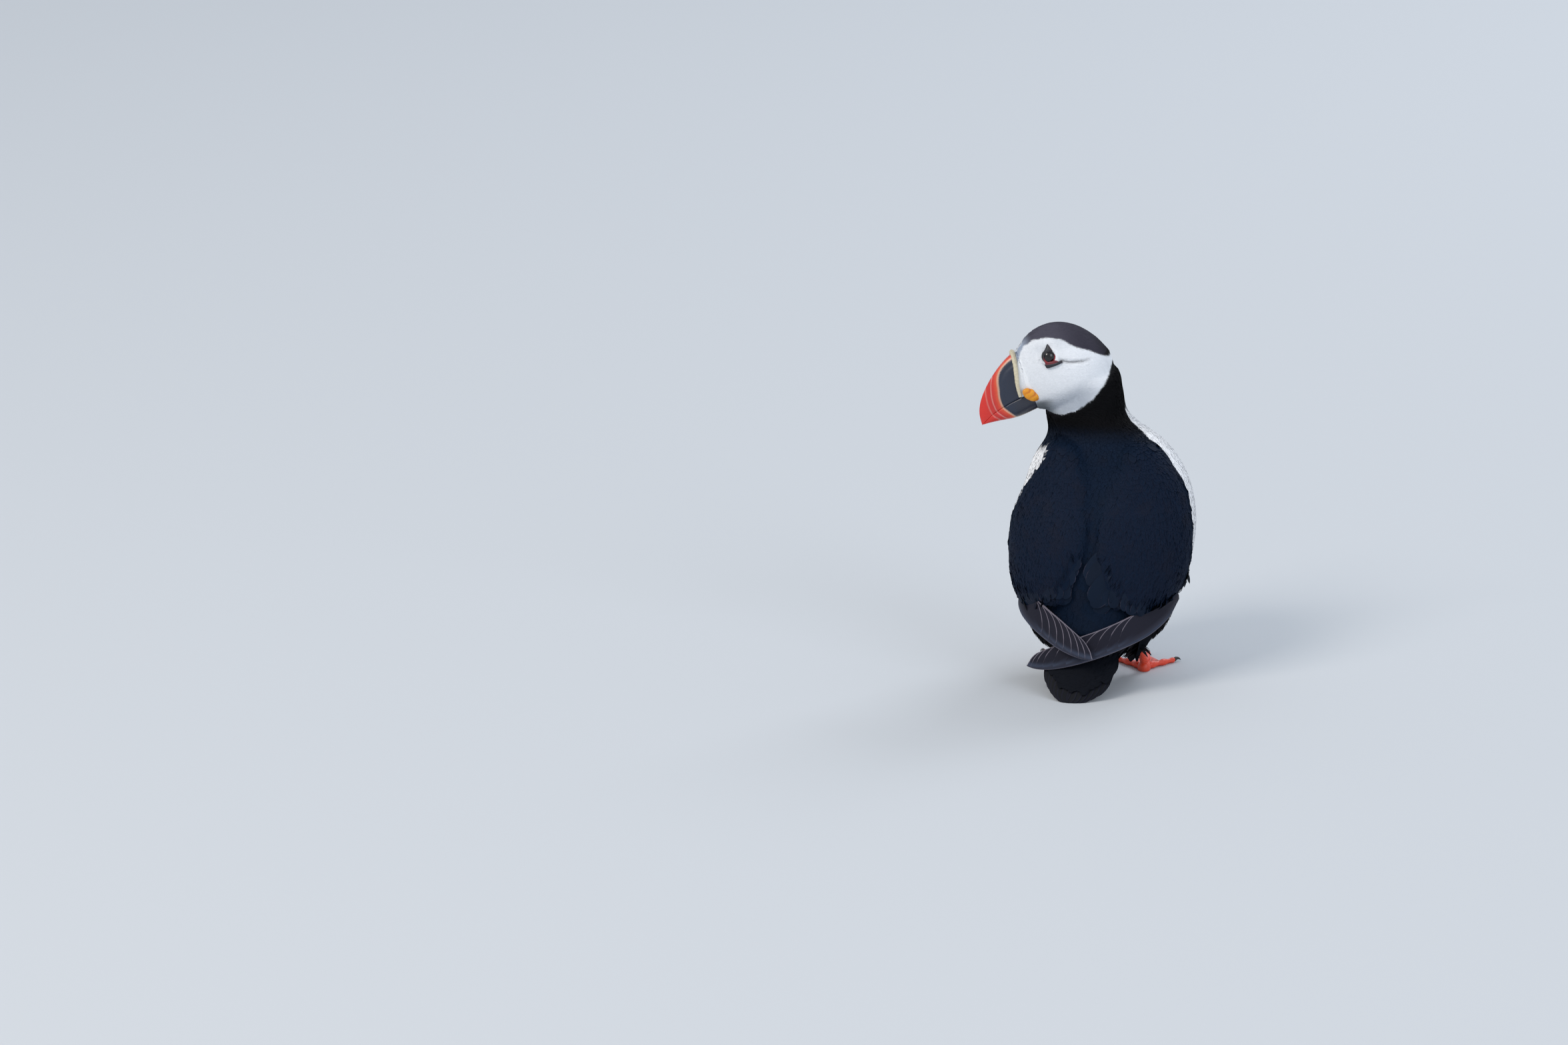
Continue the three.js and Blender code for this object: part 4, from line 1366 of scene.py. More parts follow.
@dataclass
class Coat:
    """Lays vanes over the skin. Each overlaps those behind it, with its tip lifted over their roots."""

    field: SkinField
    rng: np.random.Generator
    deepest: float = 0.35
    climb: float = 0.8
    colour_at: float = 0.7
    agreement: float = 0.2

    def lay(self, vane: Vane, roots: Array, tint: Optional[Callable[[Array], Array]] = None,
            size: Optional[Array] = None, heading: Optional[Array] = None, margin: str = "") -> Surface:
        """Marches each vane over the skin from its root.

        The shaft starts just under the skin and climbs to the lift at its tip. Points beside the shaft sit
        lower by the camber times the square of their share of the half width, and the tip's sides are drawn
        back along an arc.

        Args:
            vane: the kind of feather.
            roots: where the vanes start, rows in millimetres.
            tint: colours for places; the bird's markings if not given.
            size: a scale for each vane.
            heading: a direction for each vane; the lie of the plumage if not given.
            margin: hex colour of a vane's edges, if they differ.

        Returns:
            All the vanes as one surface.
        """
        count, rows, columns = len(roots), vane.rows, vane.columns
        size = np.ones(count) if size is None else size
        size = size * self.rng.normal(1, vane.variety, count).clip(0.7, 1.35)
        length = vane.length * size
        deep = min(self.deepest, 1.2 * vane.lift)
        place, way = self.field.drop(roots, np.full(count, -deep))
        ahead = lie(place) if heading is None else heading
        ahead = unit(ahead - way * np.sum(ahead * way, axis=1, keepdims=True))
        spin = np.radians(self.rng.normal(0, vane.turn, count))[:, None]
        ahead = ahead * np.cos(spin) + np.cross(way, ahead) * np.sin(spin)
        lean = math.radians(vane.rise)
        c, s = math.cos(lean), math.sin(lean)
        ahead, way = ahead * c + way * s, way * c - ahead * s
        spots, aheads, ways = [place], [ahead], [way]
        heights = -deep + (vane.lift + deep) * (np.arange(rows) / (rows - 1)) ** self.climb
        for k in range(1, rows):
            step = (length / (rows - 1))[:, None]
            aimed, facing = self.field.drop(place + ahead * step, np.full(count, heights[k]))
            # A stiff vane turns no faster than its bend allows, so it stands out where the skin falls away.
            turned = unit(aimed - place)
            angle = np.degrees(np.arccos(np.clip(np.sum(turned * ahead, axis=1), -1, 1)))
            share = np.minimum(1.0, vane.bend / np.maximum(angle, 1e-3))
            stiff = (share < 1.0)[:, None]
            ahead = unit(np.where(stiff, mix(ahead, turned, share), ahead))
            place = np.where(stiff, place + ahead * step, aimed)
            way = np.where(stiff, way, facing)
            ahead = np.where(stiff, ahead, unit(ahead - way * np.sum(ahead * way, axis=1, keepdims=True)))
            way = unit(way - ahead * np.sum(ahead * way, axis=1, keepdims=True))
            spots.append(place), aheads.append(ahead), ways.append(way)
        spot, ahead, way = (np.stack(v, axis=1)[:, :, None] for v in (spots, aheads, ways))
        t = (np.arange(rows) / (rows - 1))[None, :, None]
        s = np.linspace(-1, 1, columns)[None, None, :]
        profile = np.interp(t, [0, 0.25, 0.6, 0.85, 1], [0.45, 0.8, 1, 0.95, vane.taper])
        half = 0.5 * vane.width * size[:, None, None] * profile
        drawn = -vane.tip * length[:, None, None] * (1 - np.sqrt(1 - 0.96 * s**2)) * t**2
        drawn = drawn + self.rng.normal(0, vane.fray, (count, 1, columns)) * length[:, None, None] * t**3
        side = np.cross(ahead, way)
        points = spot + side * (s * half)[..., None] + ahead * drawn[..., None]
        bowl = vane.camber * s**2 * (0.3 + t)
        level = np.broadcast_to(heights[None, :, None] - bowl, points.shape[:3])
        if vane.bend < 90:
            points = points - way * bowl[..., None]
            level = np.maximum(level, self.field.read(points)[0])
        points, facing = self.field.drop(points, level)
        own = unit(np.cross(np.gradient(points, axis=2), np.gradient(points, axis=1)))
        agreed = np.sum(own * facing, axis=-1, keepdims=True) > self.agreement
        facing = np.where(agreed, unit(own + (facing - own) * vane.soft), facing)
        inner = spot[:, int(round(self.colour_at * (rows - 1))), 0]
        tint = tint or MARKINGS.tint
        if vane.crisp:
            marked = (0.7 * spot[:, :, 0] + 0.3 * inner[:, None]).reshape(-1, 3)
            colours = tint(marked).reshape(count, rows, 1, 3)
        else:
            colours = tint(inner)[:, None, None, :]
        tone = self.rng.normal(1, vane.tone, (count, 1)).clip(0.75, 1.3)
        base = colours * tone[:, None, None, :]
        # Painted shade: each vane is darker towards its root, where the vanes above it cover it.
        shade = (0.92 + 0.1 * t) * np.ones_like(s)
        tinted = base * shade[..., None] * np.ones((1, rows, columns, 1))
        if margin:
            beside, beyond = np.abs(s) * (0.55 + 0.45 * t), t**1.5 * (0.8 + 0.2 * np.abs(s))
            rim = smoothstep(vane.rim, 1.0, np.maximum(beside, beyond))
            tinted = tinted + (linear(margin) - tinted) * (vane.edge * rim * t)[..., None]
        across = np.broadcast_to(s * half, points.shape[:3])
        along = np.broadcast_to(t * length[:, None, None], points.shape[:3])
        wander = self.rng.uniform(0, 40, (count, 1, 1))
        own_map = np.stack(np.broadcast_arrays(0.5 + 0.5 * s, t), axis=-1)
        flat = unwrap(spot[:, 0, 0])[:, None, None, :] + 0.003 * own_map
        faces = (np.arange(count) * rows * columns)[:, None, None] + quads_between(rows, columns)[None]
        return Surface(
            points.reshape(-1, 3), faces.reshape(-1, 4), tinted.reshape(-1, 3),
            np.stack([across, along + wander], axis=-1).reshape(-1, 2),
            np.broadcast_to(flat, (count, rows, columns, 2)).reshape(-1, 2), facing.reshape(-1, 3),
        )

    def rows_round(self, form: Callable[[Array, Array], Array], levels: Array, spacing: float,
                   jitter: float = 0.28) -> tuple[Array, Array, Array]:
        """Staggered rows of places round a form, evenly spaced by length.

        Args:
            form: gives points for a level and an angle in degrees.
            levels: where the rows are.
            spacing: distance between neighbours in a row.
            jitter: random share of the spacing.

        Returns:
            The places, and the level and angle of each.
        """
        fine = np.linspace(-180, 180, 181)
        ring = form(levels[:, None], fine[None, :])
        reach = np.cumsum(np.linalg.norm(np.diff(ring, axis=1, prepend=ring[:, :1]), axis=2), axis=1)
        counts = np.maximum(4, (reach[:, -1] / spacing).astype(int))
        row = np.repeat(np.arange(len(levels)), counts)
        k = np.arange(counts.sum()) - np.repeat(np.cumsum(counts) - counts, counts)
        share = (k + 0.5 * (row % 2) + self.rng.uniform(-jitter, jitter, len(k))) / counts[row] % 1.0
        apart = 1e4
        known = (reach + np.arange(len(levels))[:, None] * apart).ravel()
        degrees = np.interp(share * reach[row, -1] + row * apart, known, np.tile(fine, len(levels)))
        step = np.gradient(levels)[row]
        level = levels[row] + step * self.rng.uniform(-jitter, jitter, len(k))
        return form(level, degrees), level, degrees

    @staticmethod
    def levels(form: Callable[[Array, Array], Array], low: float, high: float, spacing: float) -> Array:
        """Levels a given length apart along a form, measured down its back, front and side.

        Args:
            form: gives points for a level and an angle in degrees.
            low: the first level.
            high: the last.
            spacing: the length between them.

        Returns:
            The levels.
        """
        fine = np.linspace(low, high, 200)
        paths = [form(fine, np.full(200, angle)) for angle in (90.0, -90.0, 0.0)]
        reach = sum(np.cumsum(np.linalg.norm(np.diff(p, axis=0, prepend=p[:1]), axis=1)) for p in paths)
        reach = reach / len(paths)
        return np.interp(np.arange(0, reach[-1], spacing), reach, fine)


def wing_mask(station: Array, degrees: Array, grow: float = 0.0) -> Array:
    """0 off the wings, 1 on the right wing and -1 on the left.

    Args:
        station: place along the body.
        degrees: angle round it.
        grow: degrees by which each wing is widened.

    Returns:
        One number per place.
    """
    degrees = (degrees + 180) % 360 - 180
    back = WING.border(WING.back, station)
    inside = (station > WING.low) & (station < WING.top)
    mirrored = (180 - degrees + 180) % 360 - 180
    right, left = (
        (inside & (across > WING.front(side, station) - grow) & (across < back + grow)).astype(int)
        for side, across in ((Side.RIGHT, degrees), (Side.LEFT, mirrored)))
    return right - left


@dataclass
class Plumage:
    """Every tract of contour feathers, as joined pieces over the skin."""

    coat: Coat
    shop: Workshop
    fine: FeatherFinish
    broad: FeatherFinish
    density: float = 1.0
    wing_margin: str = "#262434"

    def kept(self, places: Array, deepest: float, highest: float) -> Array:
        """Whether each place is near enough to the skin to grow a feather there."""
        height, _ = self.coat.field.read(places)
        return (height > -deepest) & (height < highest)

    def head(self) -> list[list[Surface]]:
        """Short velvet on the face and then on crown and nape, shortest round the bill and the eye."""
        def form(u: Array, degrees: Array) -> Array:
            """The head's surface in the bird's frame."""
            return HEAD.out(HEAD.point(u, degrees))

        spacing = 0.62 / self.density
        levels = self.coat.levels(form, 0.25, 9.0, spacing)
        places, _, _ = self.coat.rows_round(form, levels, spacing)
        local = HEAD.back(places)
        eye = np.hypot(local[:, 1], local[:, 2] - HEAD.eye_height)
        plates = [outline_distance(local[:, [1, 2]], np.array(shape)) for shape in (Eyes.upper, Eyes.lower)]
        open_face = (eye > 3.7) & (np.maximum(*plates) < 0.2)
        horn = local[:, 1] < np.where(local[:, 2] > 9, 19.5, 17.8)
        keep = self.kept(places, 2.2, 3.0) & open_face & horn
        places, local, eye = places[keep], local[keep], eye[keep]
        size = np.interp(local[:, 1], [-36, -20, 0, 22], [1.1, 0.95, 0.85, 0.65])
        size *= np.interp(eye, [4, 9], [0.5, 1.0])
        vane = Vane(3.3, 1.2, 0.17, rows=4, columns=3, tip=0.3, fray=0.05, camber=0.03, turn=4, taper=0.6,
                    variety=0.1, tone=0.02, crisp=True, soft=0.85)
        near = MARKINGS.face_share(local) > 0.5
        face, crown = (self.coat.lay(vane, places[part], size=size[part]) for part in (near, ~near))
        return [[face, self.bill_root(vane)], [crown]]

    def bill_root(self, vane: Vane) -> Surface:
        """Velvet that runs on over the bill's root, up to the cere.

        Args:
            vane: the kind of feather.

        Returns:
            The vanes.
        """
        horn = Bill(self.shop).mandible(False, steps=110, rows=44)
        local = HEAD.back(horn.points)
        out = horn.normals()
        from_middle = horn.points - HEAD.out(np.array([0, 10.0, -12.0]))
        out = out * np.sign(np.sum(out * from_middle, axis=1, keepdims=True))
        near = local[:, 1] < 26
        root = Coat(SkinField.around(horn.points[near], out[near], 0.7, 4.0), self.coat.rng)
        edge = Bill.cere_edge(local[:, 2])
        some = (local[:, 1] < edge - 0.3) & (local[:, 2] > -12.5)
        some &= self.coat.rng.uniform(0, 1, len(edge)) < 0.75
        return root.lay(vane, horn.points[some], tint=lambda p: MARKINGS.head_tint(HEAD.back(p)),
                        size=np.full(some.sum(), 0.75))

    def neck(self) -> list[Surface]:
        """Soft black feathers from the collar to the head."""
        spacing = 1.05 / self.density
        levels = self.coat.levels(BODY.point, 7.0, 10.6, spacing)
        places, _, _ = self.coat.rows_round(BODY.point, levels, spacing)
        local = HEAD.back(places)
        on_face = (MARKINGS.face_share(local) > 0.5) & (MARKINGS.head_level(local) < 1.25)
        places = places[self.kept(places, 2.6, 3.0) & ~on_face]
        vane = Vane(5.6, 1.8, 0.5, rows=4, columns=4, tip=0.4, fray=0.03, camber=0.01, turn=5, taper=0.5,
                    crisp=True, soft=0.6)
        return [self.coat.lay(vane, places)]

    def body_roots(self, low: float, high: float, spacing: float, stretch: float = 1.0
                   ) -> tuple[Array, Array, Array]:
        """Places over trunk and wings, on the skin or just above it.

        Args:
            low: the first station.
            high: the last station.
            spacing: millimetres between neighbours in a row.
            stretch: how much further apart the rows are.

        Returns:
            The places, and the station and angle of each.
        """
        levels = self.coat.levels(BODY.point, low, high, spacing * stretch)
        places, station, degrees = self.coat.rows_round(BODY.point, levels, spacing)
        raised = np.abs(wing_mask(station, degrees)) * 2.2
        places = places + BODY.normal(station, degrees) * raised[:, None]
        keep = self.kept(places, 4.5, 3.5)
        return places[keep], station[keep], degrees[keep]

    def breast(self) -> list[Surface]:
        """Dense white feathers on breast, belly and flanks."""
        places, station, degrees = self.body_roots(0.4, 7.6, 1.55 / self.density)
        off = (wing_mask(station, degrees, -2.0) == 0) & (np.abs(degrees - 90) > 40)
        right, left = (WING.front(side, station) + 4 for side in Side)
        off &= (degrees < right) | (degrees > 180 - left)
        vane = Vane(8.5, 3.1, 0.5, rows=5, columns=5, tip=0.3, fray=0.02, camber=0.0, turn=5, taper=0.55,
                    tone=0.02, soft=0.8)
        high = station > 4.2
        return [self.coat.lay(vane, places[off & part]) for part in (high, ~high)]

    def mantle(self) -> list[Surface]:
        """Blue-black feathers between the wings, from the nape to the rump; their blue is partly painted
        sheen.
        """
        places, station, degrees = self.body_roots(0.5, 7.6, 1.75 / self.density)
        back = (wing_mask(station, degrees, -3.0) == 0) & (degrees > 20) & (degrees < 160)
        small = np.interp(station[back], [0.5, 4, 7.6], [1.15, 1.0, 0.75])
        vane = Vane(11, 4.4, 0.6, rows=6, columns=5, tip=0.35, fray=0.02, camber=0.02, turn=4, taper=0.75)
        return [self.coat.lay(vane, places[back], size=small)]

    def wings(self, side: Side) -> list[Surface]:
        """Overlapping rows of wing coverts and scapulars, small at the shoulder, with faint brown edges.

        Args:
            side: which wing.

        Returns:
            The wing's cover.
        """
        places, station, degrees = self.body_roots(1.15, 7.2, 2.1 / self.density, 1.05)
        across = (degrees if side > 0 else 180 - degrees + 360 * (degrees < -90)) - WING.front(side, station)
        wide = WING.border(WING.back, station) - WING.front(side, station)
        inner = (across > 0.95 * wide) & (station < 3.5)
        on = (wing_mask(station, degrees, -1.4) == side) & (station > 1.8) & (across > 4) & ~inner
        vane = Vane(13.5, 6.0, 0.6, rows=6, columns=7, tip=0.3, fray=0.015, camber=0.03, turn=3, taper=0.85,
                    edge=0.3, variety=0.08, bend=4)
        small = np.interp(station[on], [1.2, 3, 6.9], [1.0, 1.0, 0.6])
        return [self.coat.lay(vane, places[on], size=small, margin=self.wing_margin)]

    def rump(self) -> list[Surface]:
        """Tail coverts over the tail's root, above and below, laid along the tail's own faces."""
        parts = []
        for face, reach in ((1, 0.62), (-1, 0.45)):
            u, v = np.meshgrid(np.linspace(-1, 1, 60), np.linspace(-0.25, 1, 90), indexing="ij")
            sheet = TAIL.point(u, v, face * 0.9)
            out = np.repeat(TAIL.turn[:, 2][None] * face, sheet.size // 3, axis=0)
            tail = Coat(SkinField.around(sheet.reshape(-1, 3), out, cell=1.2, reach=7.0), self.coat.rng)
            count, wide = 22, 0.93
            q, t = np.meshgrid(np.linspace(-wide, wide, count), np.linspace(-0.12, reach, count))
            q = q + (np.arange(count)[:, None] % 2) * wide / count
            keep = (t < reach - 0.22 * q * q).ravel()
            places = TAIL.point(q, t, face * 0.9).reshape(-1, 3)[keep]
            vane = Vane(16, 7.0, 0.5, rows=7, columns=7, tip=0.3, fray=0.01, camber=0.1, turn=4, taper=0.85)
            # Above the tail this blue-black is the coverts' own colour; below the tail it is painted shade.
            parts.append(tail.lay(
                vane, places, tint=self.rump_black_and_vent_shade, size=np.interp(t.ravel()[keep], [0, 0.6], [1, 0.8]),
                heading=np.repeat(TAIL.turn[:, 1][None], keep.sum(), axis=0)))
        return parts

    @staticmethod
    def rump_black_and_vent_shade(points: Array) -> Array:
        """Blue-black over the tail, and the same colour as painted shade on the vent."""
        return plain(MARKINGS.rump, len(points))

    def vent(self) -> list[Surface]:
        """Long loose feathers under the tail's root, black as painted shade, and a grey tuft over the right
        thigh.
        """
        places, station, degrees = self.body_roots(0.0, 2.0, 2.3 / self.density)
        under = (degrees < 15) | (degrees > 165)
        under &= places[:, 1] < np.interp(station, [0, 2], [-28, -14])
        parts = []
        for rise, share in ((0.0, 1.0), (30.0, 0.3)):
            some = under & (self.coat.rng.uniform(0, 1, len(under)) < share)
            vane = Vane(13, 3.8, 1.4, rows=7, columns=5, tip=0.4, fray=0.08, camber=0.12, turn=8, taper=0.5,
                        bend=4, rise=rise)
            parts.append(self.coat.lay(vane, places[some], tint=self.rump_black_and_vent_shade,
                                       size=np.interp(station[some], [0, 1, 2], [1.25, 1.0, 0.8])))
        # A skirt of long feathers over the vent and the right hind flank: its black is partly the flank's own
        # dusky colour and partly painted shade under the tail.
        count = int(230 * self.density)
        station, degrees = self.coat.rng.uniform(0.2, 1.9, count), self.coat.rng.uniform(-95, -22, count)
        place = BODY.point(station, degrees)
        skirt = Vane(19, 5.5, 1.5, rows=8, columns=7, tip=0.35, fray=0.02, camber=0.2, turn=3, taper=0.6,
                     bend=2)
        down = unit(np.array([[-0.12, -0.42, -1.0]]))
        parts.append(self.coat.lay(
            skirt, place, tint=self.rump_black_and_vent_shade, size=((place[:, 2] - 8) / 18).clip(0.45, 1.25),
            heading=np.repeat(down, count, axis=0)))
        count = int(14 * self.density)
        station, degrees = self.coat.rng.uniform(2.95, 3.3, count), self.coat.rng.uniform(-10, 1, count)
        wisp = Vane(10, 4.0, 1.6, rows=8, columns=7, tip=0.3, fray=0.03, camber=0.15, turn=7, taper=0.8,
                    bend=2, rise=15)
        parts.append(self.coat.lay(
            wisp, BODY.point(station, degrees), tint=lambda places: plain(MARKINGS.wisp, len(places))))
        return parts

    def thighs(self) -> list[Surface]:
        """Loose dusky feathers down each thigh to the ankle."""
        parts, steps = [], 60
        for side in Side:
            path, along, across, out, size = THIGHS[side].sections(side, steps)

            def form(level: Array, degrees: Array) -> Array:
                """The thigh's surface, an ellipse carried down its path."""
                level, degrees = np.broadcast_arrays(level, degrees)
                i = np.clip(np.round(level).astype(int), 0, steps - 1)
                c, s = np.cos(np.radians(degrees)), np.sin(np.radians(degrees))
                ring = across[i] * c[..., None] + 1.12 * out[i] * s[..., None]
                return path[i] + size[i][..., None] * ring

            places, level, _ = self.coat.rows_round(form, np.arange(8, steps, 2.6), 1.6 / self.density)
            keep = self.kept(places, 1.6, 2.0)
            places, level = places[keep], np.round(level[keep]).astype(int).clip(0, steps - 1)
            vane = Vane(6.5, 2.6, 1.2, columns=4, rows=5, tip=0.4, fray=0.09, turn=11, taper=0.45)
            low = smoothstep(20, 50, level)[:, None]
            heading = unit(along[level] * (0.4 + low) + lie(places) * (1 - low))
            size = np.interp(level, [8, 45, 59], [1.1, 0.9, 0.55])
            parts.append(self.coat.lay(vane, places, tint=self.thigh_tint, size=size, heading=heading))
        return parts

    @staticmethod
    def thigh_tint(points: Array) -> Array:
        """Black behind and outside, whitish in front."""
        front = smoothstep(1, 8, points[:, 1] + noise(points, 9, 21) * 1.5)
        return mix(linear(MARKINGS.thigh), linear(MARKINGS.thigh_front), 0.8 * front)

    def build(self) -> None:
        """Makes each tract as one object that rides on the bird."""
        face, crown = self.head()
        breast, belly = self.breast()
        tracts = (
            ("face", face, self.fine, "face_plumage"),
            ("crown", crown, self.fine, "face_plumage"),
            ("neck", self.neck(), self.fine, "black_plumage"),
            ("breast", [breast], self.fine, "body_plumage"),
            ("belly", [belly], self.fine, "body_plumage"),
            ("mantle", self.mantle(), self.broad, "black_plumage"),
            ("wing_right", self.wings(Side.RIGHT), self.broad, "black_plumage"),
            ("wing_left", self.wings(Side.LEFT), self.broad, "black_plumage"),
            ("rump", self.rump(), self.broad, "black_plumage"),
            ("vent", self.vent(), self.fine, "black_plumage"),
            ("thighs", self.thighs(), self.fine, "body_plumage"),
        )
        made = {finish: finish.material() for finish in (self.fine, self.broad)}
        for name, parts, finish, slot in tracts:
            self.shop.add(f"feathers_{name}", Surface.joined(parts), made[finish], slot, weld=False)


# ------------------------------------------------------------------ flight feathers


@dataclass(frozen=True)
class Quill:
    """One stiff feather: a shaft with a vane on each side, as a closed lens-thin solid."""

    shaft: str = "#2c2830"
    web: str = "#1c1c28"
    lead: str = "#363d4e"
    margin: str = "#77717c"
    margin_wide: float = 0.36
    thick: float = 0.12
    camber: float = 0.3
    ridge: float = 0.14

    def build(self, path: Array, side: Array, out: Array, near: Array, far: Array, inset: Array,
              rng: np.random.Generator) -> Surface:
        """Carries the feather's section along its shaft.

        The section runs from the near vane's edge to the far vane's, a shallow arc with a ridge at the shaft.
        Its upper and lower sides meet in the edges.

        Args:
            path: the shaft's line.
            side: direction from the shaft to the far vane.
            out: direction that the upper side faces.
            near: width of the near vane along the shaft.
            far: width of the far vane.
            inset: distance from the shaft to the wing's leading edge, where the webs are paler.
            rng: varies the tone.

        Returns:
            The feather.
        """
        s = np.array([-1, -0.97, -0.8, -0.4, 0, 0.2, 0.42, 0.62, 0.78, 0.88, 0.93, 0.96, 0.985, 1.0])
        width = np.where(s[None] < 0, near[:, None], far[:, None]) * s[None]
        arc = self.camber * (1 - s**2)[None] * np.minimum(1, (near + far)[:, None] / 6)
        ridge = self.ridge * np.exp(-((width / 0.3) ** 2))
        half = self.thick * (1 - 0.8 * s**4)[None]
        top, bottom = (path[:, None] + side[:, None] * width[..., None] + out[:, None] * lift[..., None]
                       for lift in (arc + ridge + half, arc - half))
        ring = np.concatenate([top, bottom[:, ::-1]], axis=1)
        wide = np.concatenate([width, width[:, ::-1]], axis=1)
        length = np.append(0, np.cumsum(np.linalg.norm(np.diff(path, axis=0), axis=1)))
        t = np.linspace(0, 1, len(path))[:, None]
        # Distance to the vane's outline, allowing for its slant near the tip.
        slant = np.abs(np.gradient(far, np.maximum(length, np.arange(len(length)) * 1e-6)))[:, None]
        inside = np.where(wide > 0, (far[:, None] - wide) / np.sqrt(1 + slant**2), near[:, None] + wide + 0.2)
        edge = smoothstep(1.3 * self.margin_wide, 0.5 * self.margin_wide, inside)
        tone = rng.normal(1, 0.05)
        web = linear(self.web) * tone * np.ones(ring.shape)
        leading = smoothstep(5.0, 2.5, inset[:, None] + wide) * smoothstep(0.0, 0.3, t)
        web = mix(web, linear(self.lead), leading)
        colour = mix(web, linear(self.margin), edge * smoothstep(0.0, 0.15, t))
        shaft = np.exp(-((wide / 0.35) ** 2))
        colour = mix(colour, linear(self.shaft), 0.6 * shaft)
        made = Surface.capped(ring).painted(colour)
        rows = np.concatenate([[0], np.arange(len(path)), [len(path) - 1]])
        along = np.broadcast_to(length[rows][:, None], wide[rows].shape)
        made.vane = np.stack([wide[rows], along], axis=-1).reshape(-1, 2)
        return made


@dataclass
class FlightFeathers:
    """Primaries that cross over the tail, tertials and secondaries at the wings' ends, and the tail."""

    coat: Coat
    shop: Workshop
    finish: FeatherFinish
    blade_right: Knots = (
        (46, -16, 56), (40, -33, 49), (28, -47, 42), (11, -57.5, 35), (-8, -61, 28), (-25, -58, 21.5),
        (-39, -53, 17))
    blade_left: Knots = (
        (-47, -14, 57), (-44.5, -31, 52), (-35, -47, 47), (-22, -59, 41), (-9, -66, 34.5), (5, -69, 28))
    steps: int = 120
    blade_half: float = 8.0
    twist: float = 0.55
    steps_right: tuple[float, ...] = (61.0, 54.5, 47.5, 39.5, 30.0, 21.0, 13.0, 7.3, 3.2, 0.0)
    steps_left: tuple[float, ...] = (39.5, 33.0, 26.5, 20.4, 14.3, 9.0, 4.5, 0.0)
    rectrices: int = 12
    tail_quill: Quill = Quill(
        web="#060911", lead="#060911", margin="#0e1020", shaft="#080a12", margin_wide=0.8, thick=0.05,
        camber=0.04, ridge=0.02)
    tail_half: float = 6.2
    covert_margin: str = "#4b4452"

    def blade(self, side: Side) -> tuple[Array, Array, Array]:
        """The line that a wing's primaries follow.

        Args:
            side: which wing.

        Returns:
            The line, and at each place the directions to the leading edge and outwards.
        """
        path, along = smooth_path(self.blade_right if side is Side.RIGHT else self.blade_left, self.steps)
        t = np.linspace(0, 1, self.steps)
        out = (path - np.array([0, -14, 0])) * np.array([self.twist, 1, 0])
        out[:, 2] = 4 + 6 * t
        out = unit(out - along * np.sum(out * along, axis=1, keepdims=True))
        return path, np.cross(along, out) * -side, out

    def primaries(self, side: Side) -> Surface:
        """The primaries: the shortest lies on top, and each shaft keeps near the leading edge.

        Args:
            side: which wing.

        Returns:
            The primaries.
        """
        path, lead, out = self.blade(side)
        u = np.linspace(0, 1, self.steps)
        closing = np.sqrt(np.maximum(0.03, 1 - np.clip((u - 0.55) / 0.47, 0, 1) ** 2))
        half = self.blade_half * np.minimum(1, 0.7 + u) * closing
        quill = Quill()
        reach = float(np.linalg.norm(np.diff(path, axis=0), axis=1).sum())
        feathers = []
        steps = self.steps_right if side is Side.RIGHT else self.steps_left
        for k, short in enumerate(steps):
            tip = 1 - short / reach
            v = 1 - (1 - np.linspace(0, 1, 70)) ** 1.8
            at = v * tip * 0.997
            line, way, up = (np.stack([np.interp(at, u, table[:, i]) for i in range(3)], axis=1)
                             for table in (path, lead, out))
            way, up = unit(way), unit(up)
            size = np.interp(at, u, half)
            behind = (len(steps) - 1 - k) / (len(steps) - 1)
            inset = np.minimum(0.9 + 2.2 * behind * (1 - 0.5 * v), 0.9 * size)
            # The far vane keeps its width almost to the tip, then closes along a rounded slant.
            left = np.clip((1 - v) * tip * reach / (2.1 * np.maximum(size, 4.0)), 0, 1)
            closing = (1 - (1 - left) ** 1.7) ** 0.75
            shaft = size - inset
            far = np.maximum((size + shaft - 0.15) * closing, 0.05)
            near = np.maximum((inset - 0.2) * np.sqrt(np.maximum(0, 1 - v**12)), 0.05)
            height = 0.65 - 1.9 * (1 - behind) + 0.1 * v
            line = line + way * shaft[:, None] + up * height[:, None]
            feathers.append(quill.build(line, -way, up, near, far, inset, self.coat.rng))
        return Surface.joined(feathers)

    def tail(self) -> Surface:
        """Twelve broad round-ended tail feathers, the middle pair on top."""
        feathers, steps, half = [], 48, self.tail_half
        order = sorted(range(self.rectrices), key=lambda j: -abs(j - (self.rectrices - 1) / 2))
        for rank, j in enumerate(order):
            q = -0.8 + 1.6 * j / (self.rectrices - 1)
            v = 1 - (1 - np.linspace(0, 1, steps)) ** 1.7
            t = -0.04 + 1.025 * v
            height = -0.3 + 0.7 * rank / self.rectrices * (1 - 0.3 * t)
            line, right, left = (TAIL.point(np.full(steps, q + off), t, height) for off in (0, 0.02, -0.02))
            side = unit(right - left)
            along = unit(np.gradient(line, axis=0))
            out = unit(np.cross(side, along))
            rest = np.clip((1 - v) * 52 / 6.5, 0, 1)
            shape = np.sqrt(np.maximum(0.002, 1 - (1 - rest) ** 2)) * np.interp(v, [0, 0.5], [0.7, 1])
            outer = math.copysign(1.0, q)
            limit = TAIL.half_end * (1.0 - abs(q))
            near, far = half * shape, np.minimum(half, limit + 0.5) * shape
            inset = np.full(steps, 9.0)
            feathers.append(self.tail_quill.build(line, side * outer, out, near, far, inset, self.coat.rng))
        tail = Surface.joined(feathers)
        tail.points[:, 2] = np.maximum(tail.points[:, 2], 0.1)
        return tail

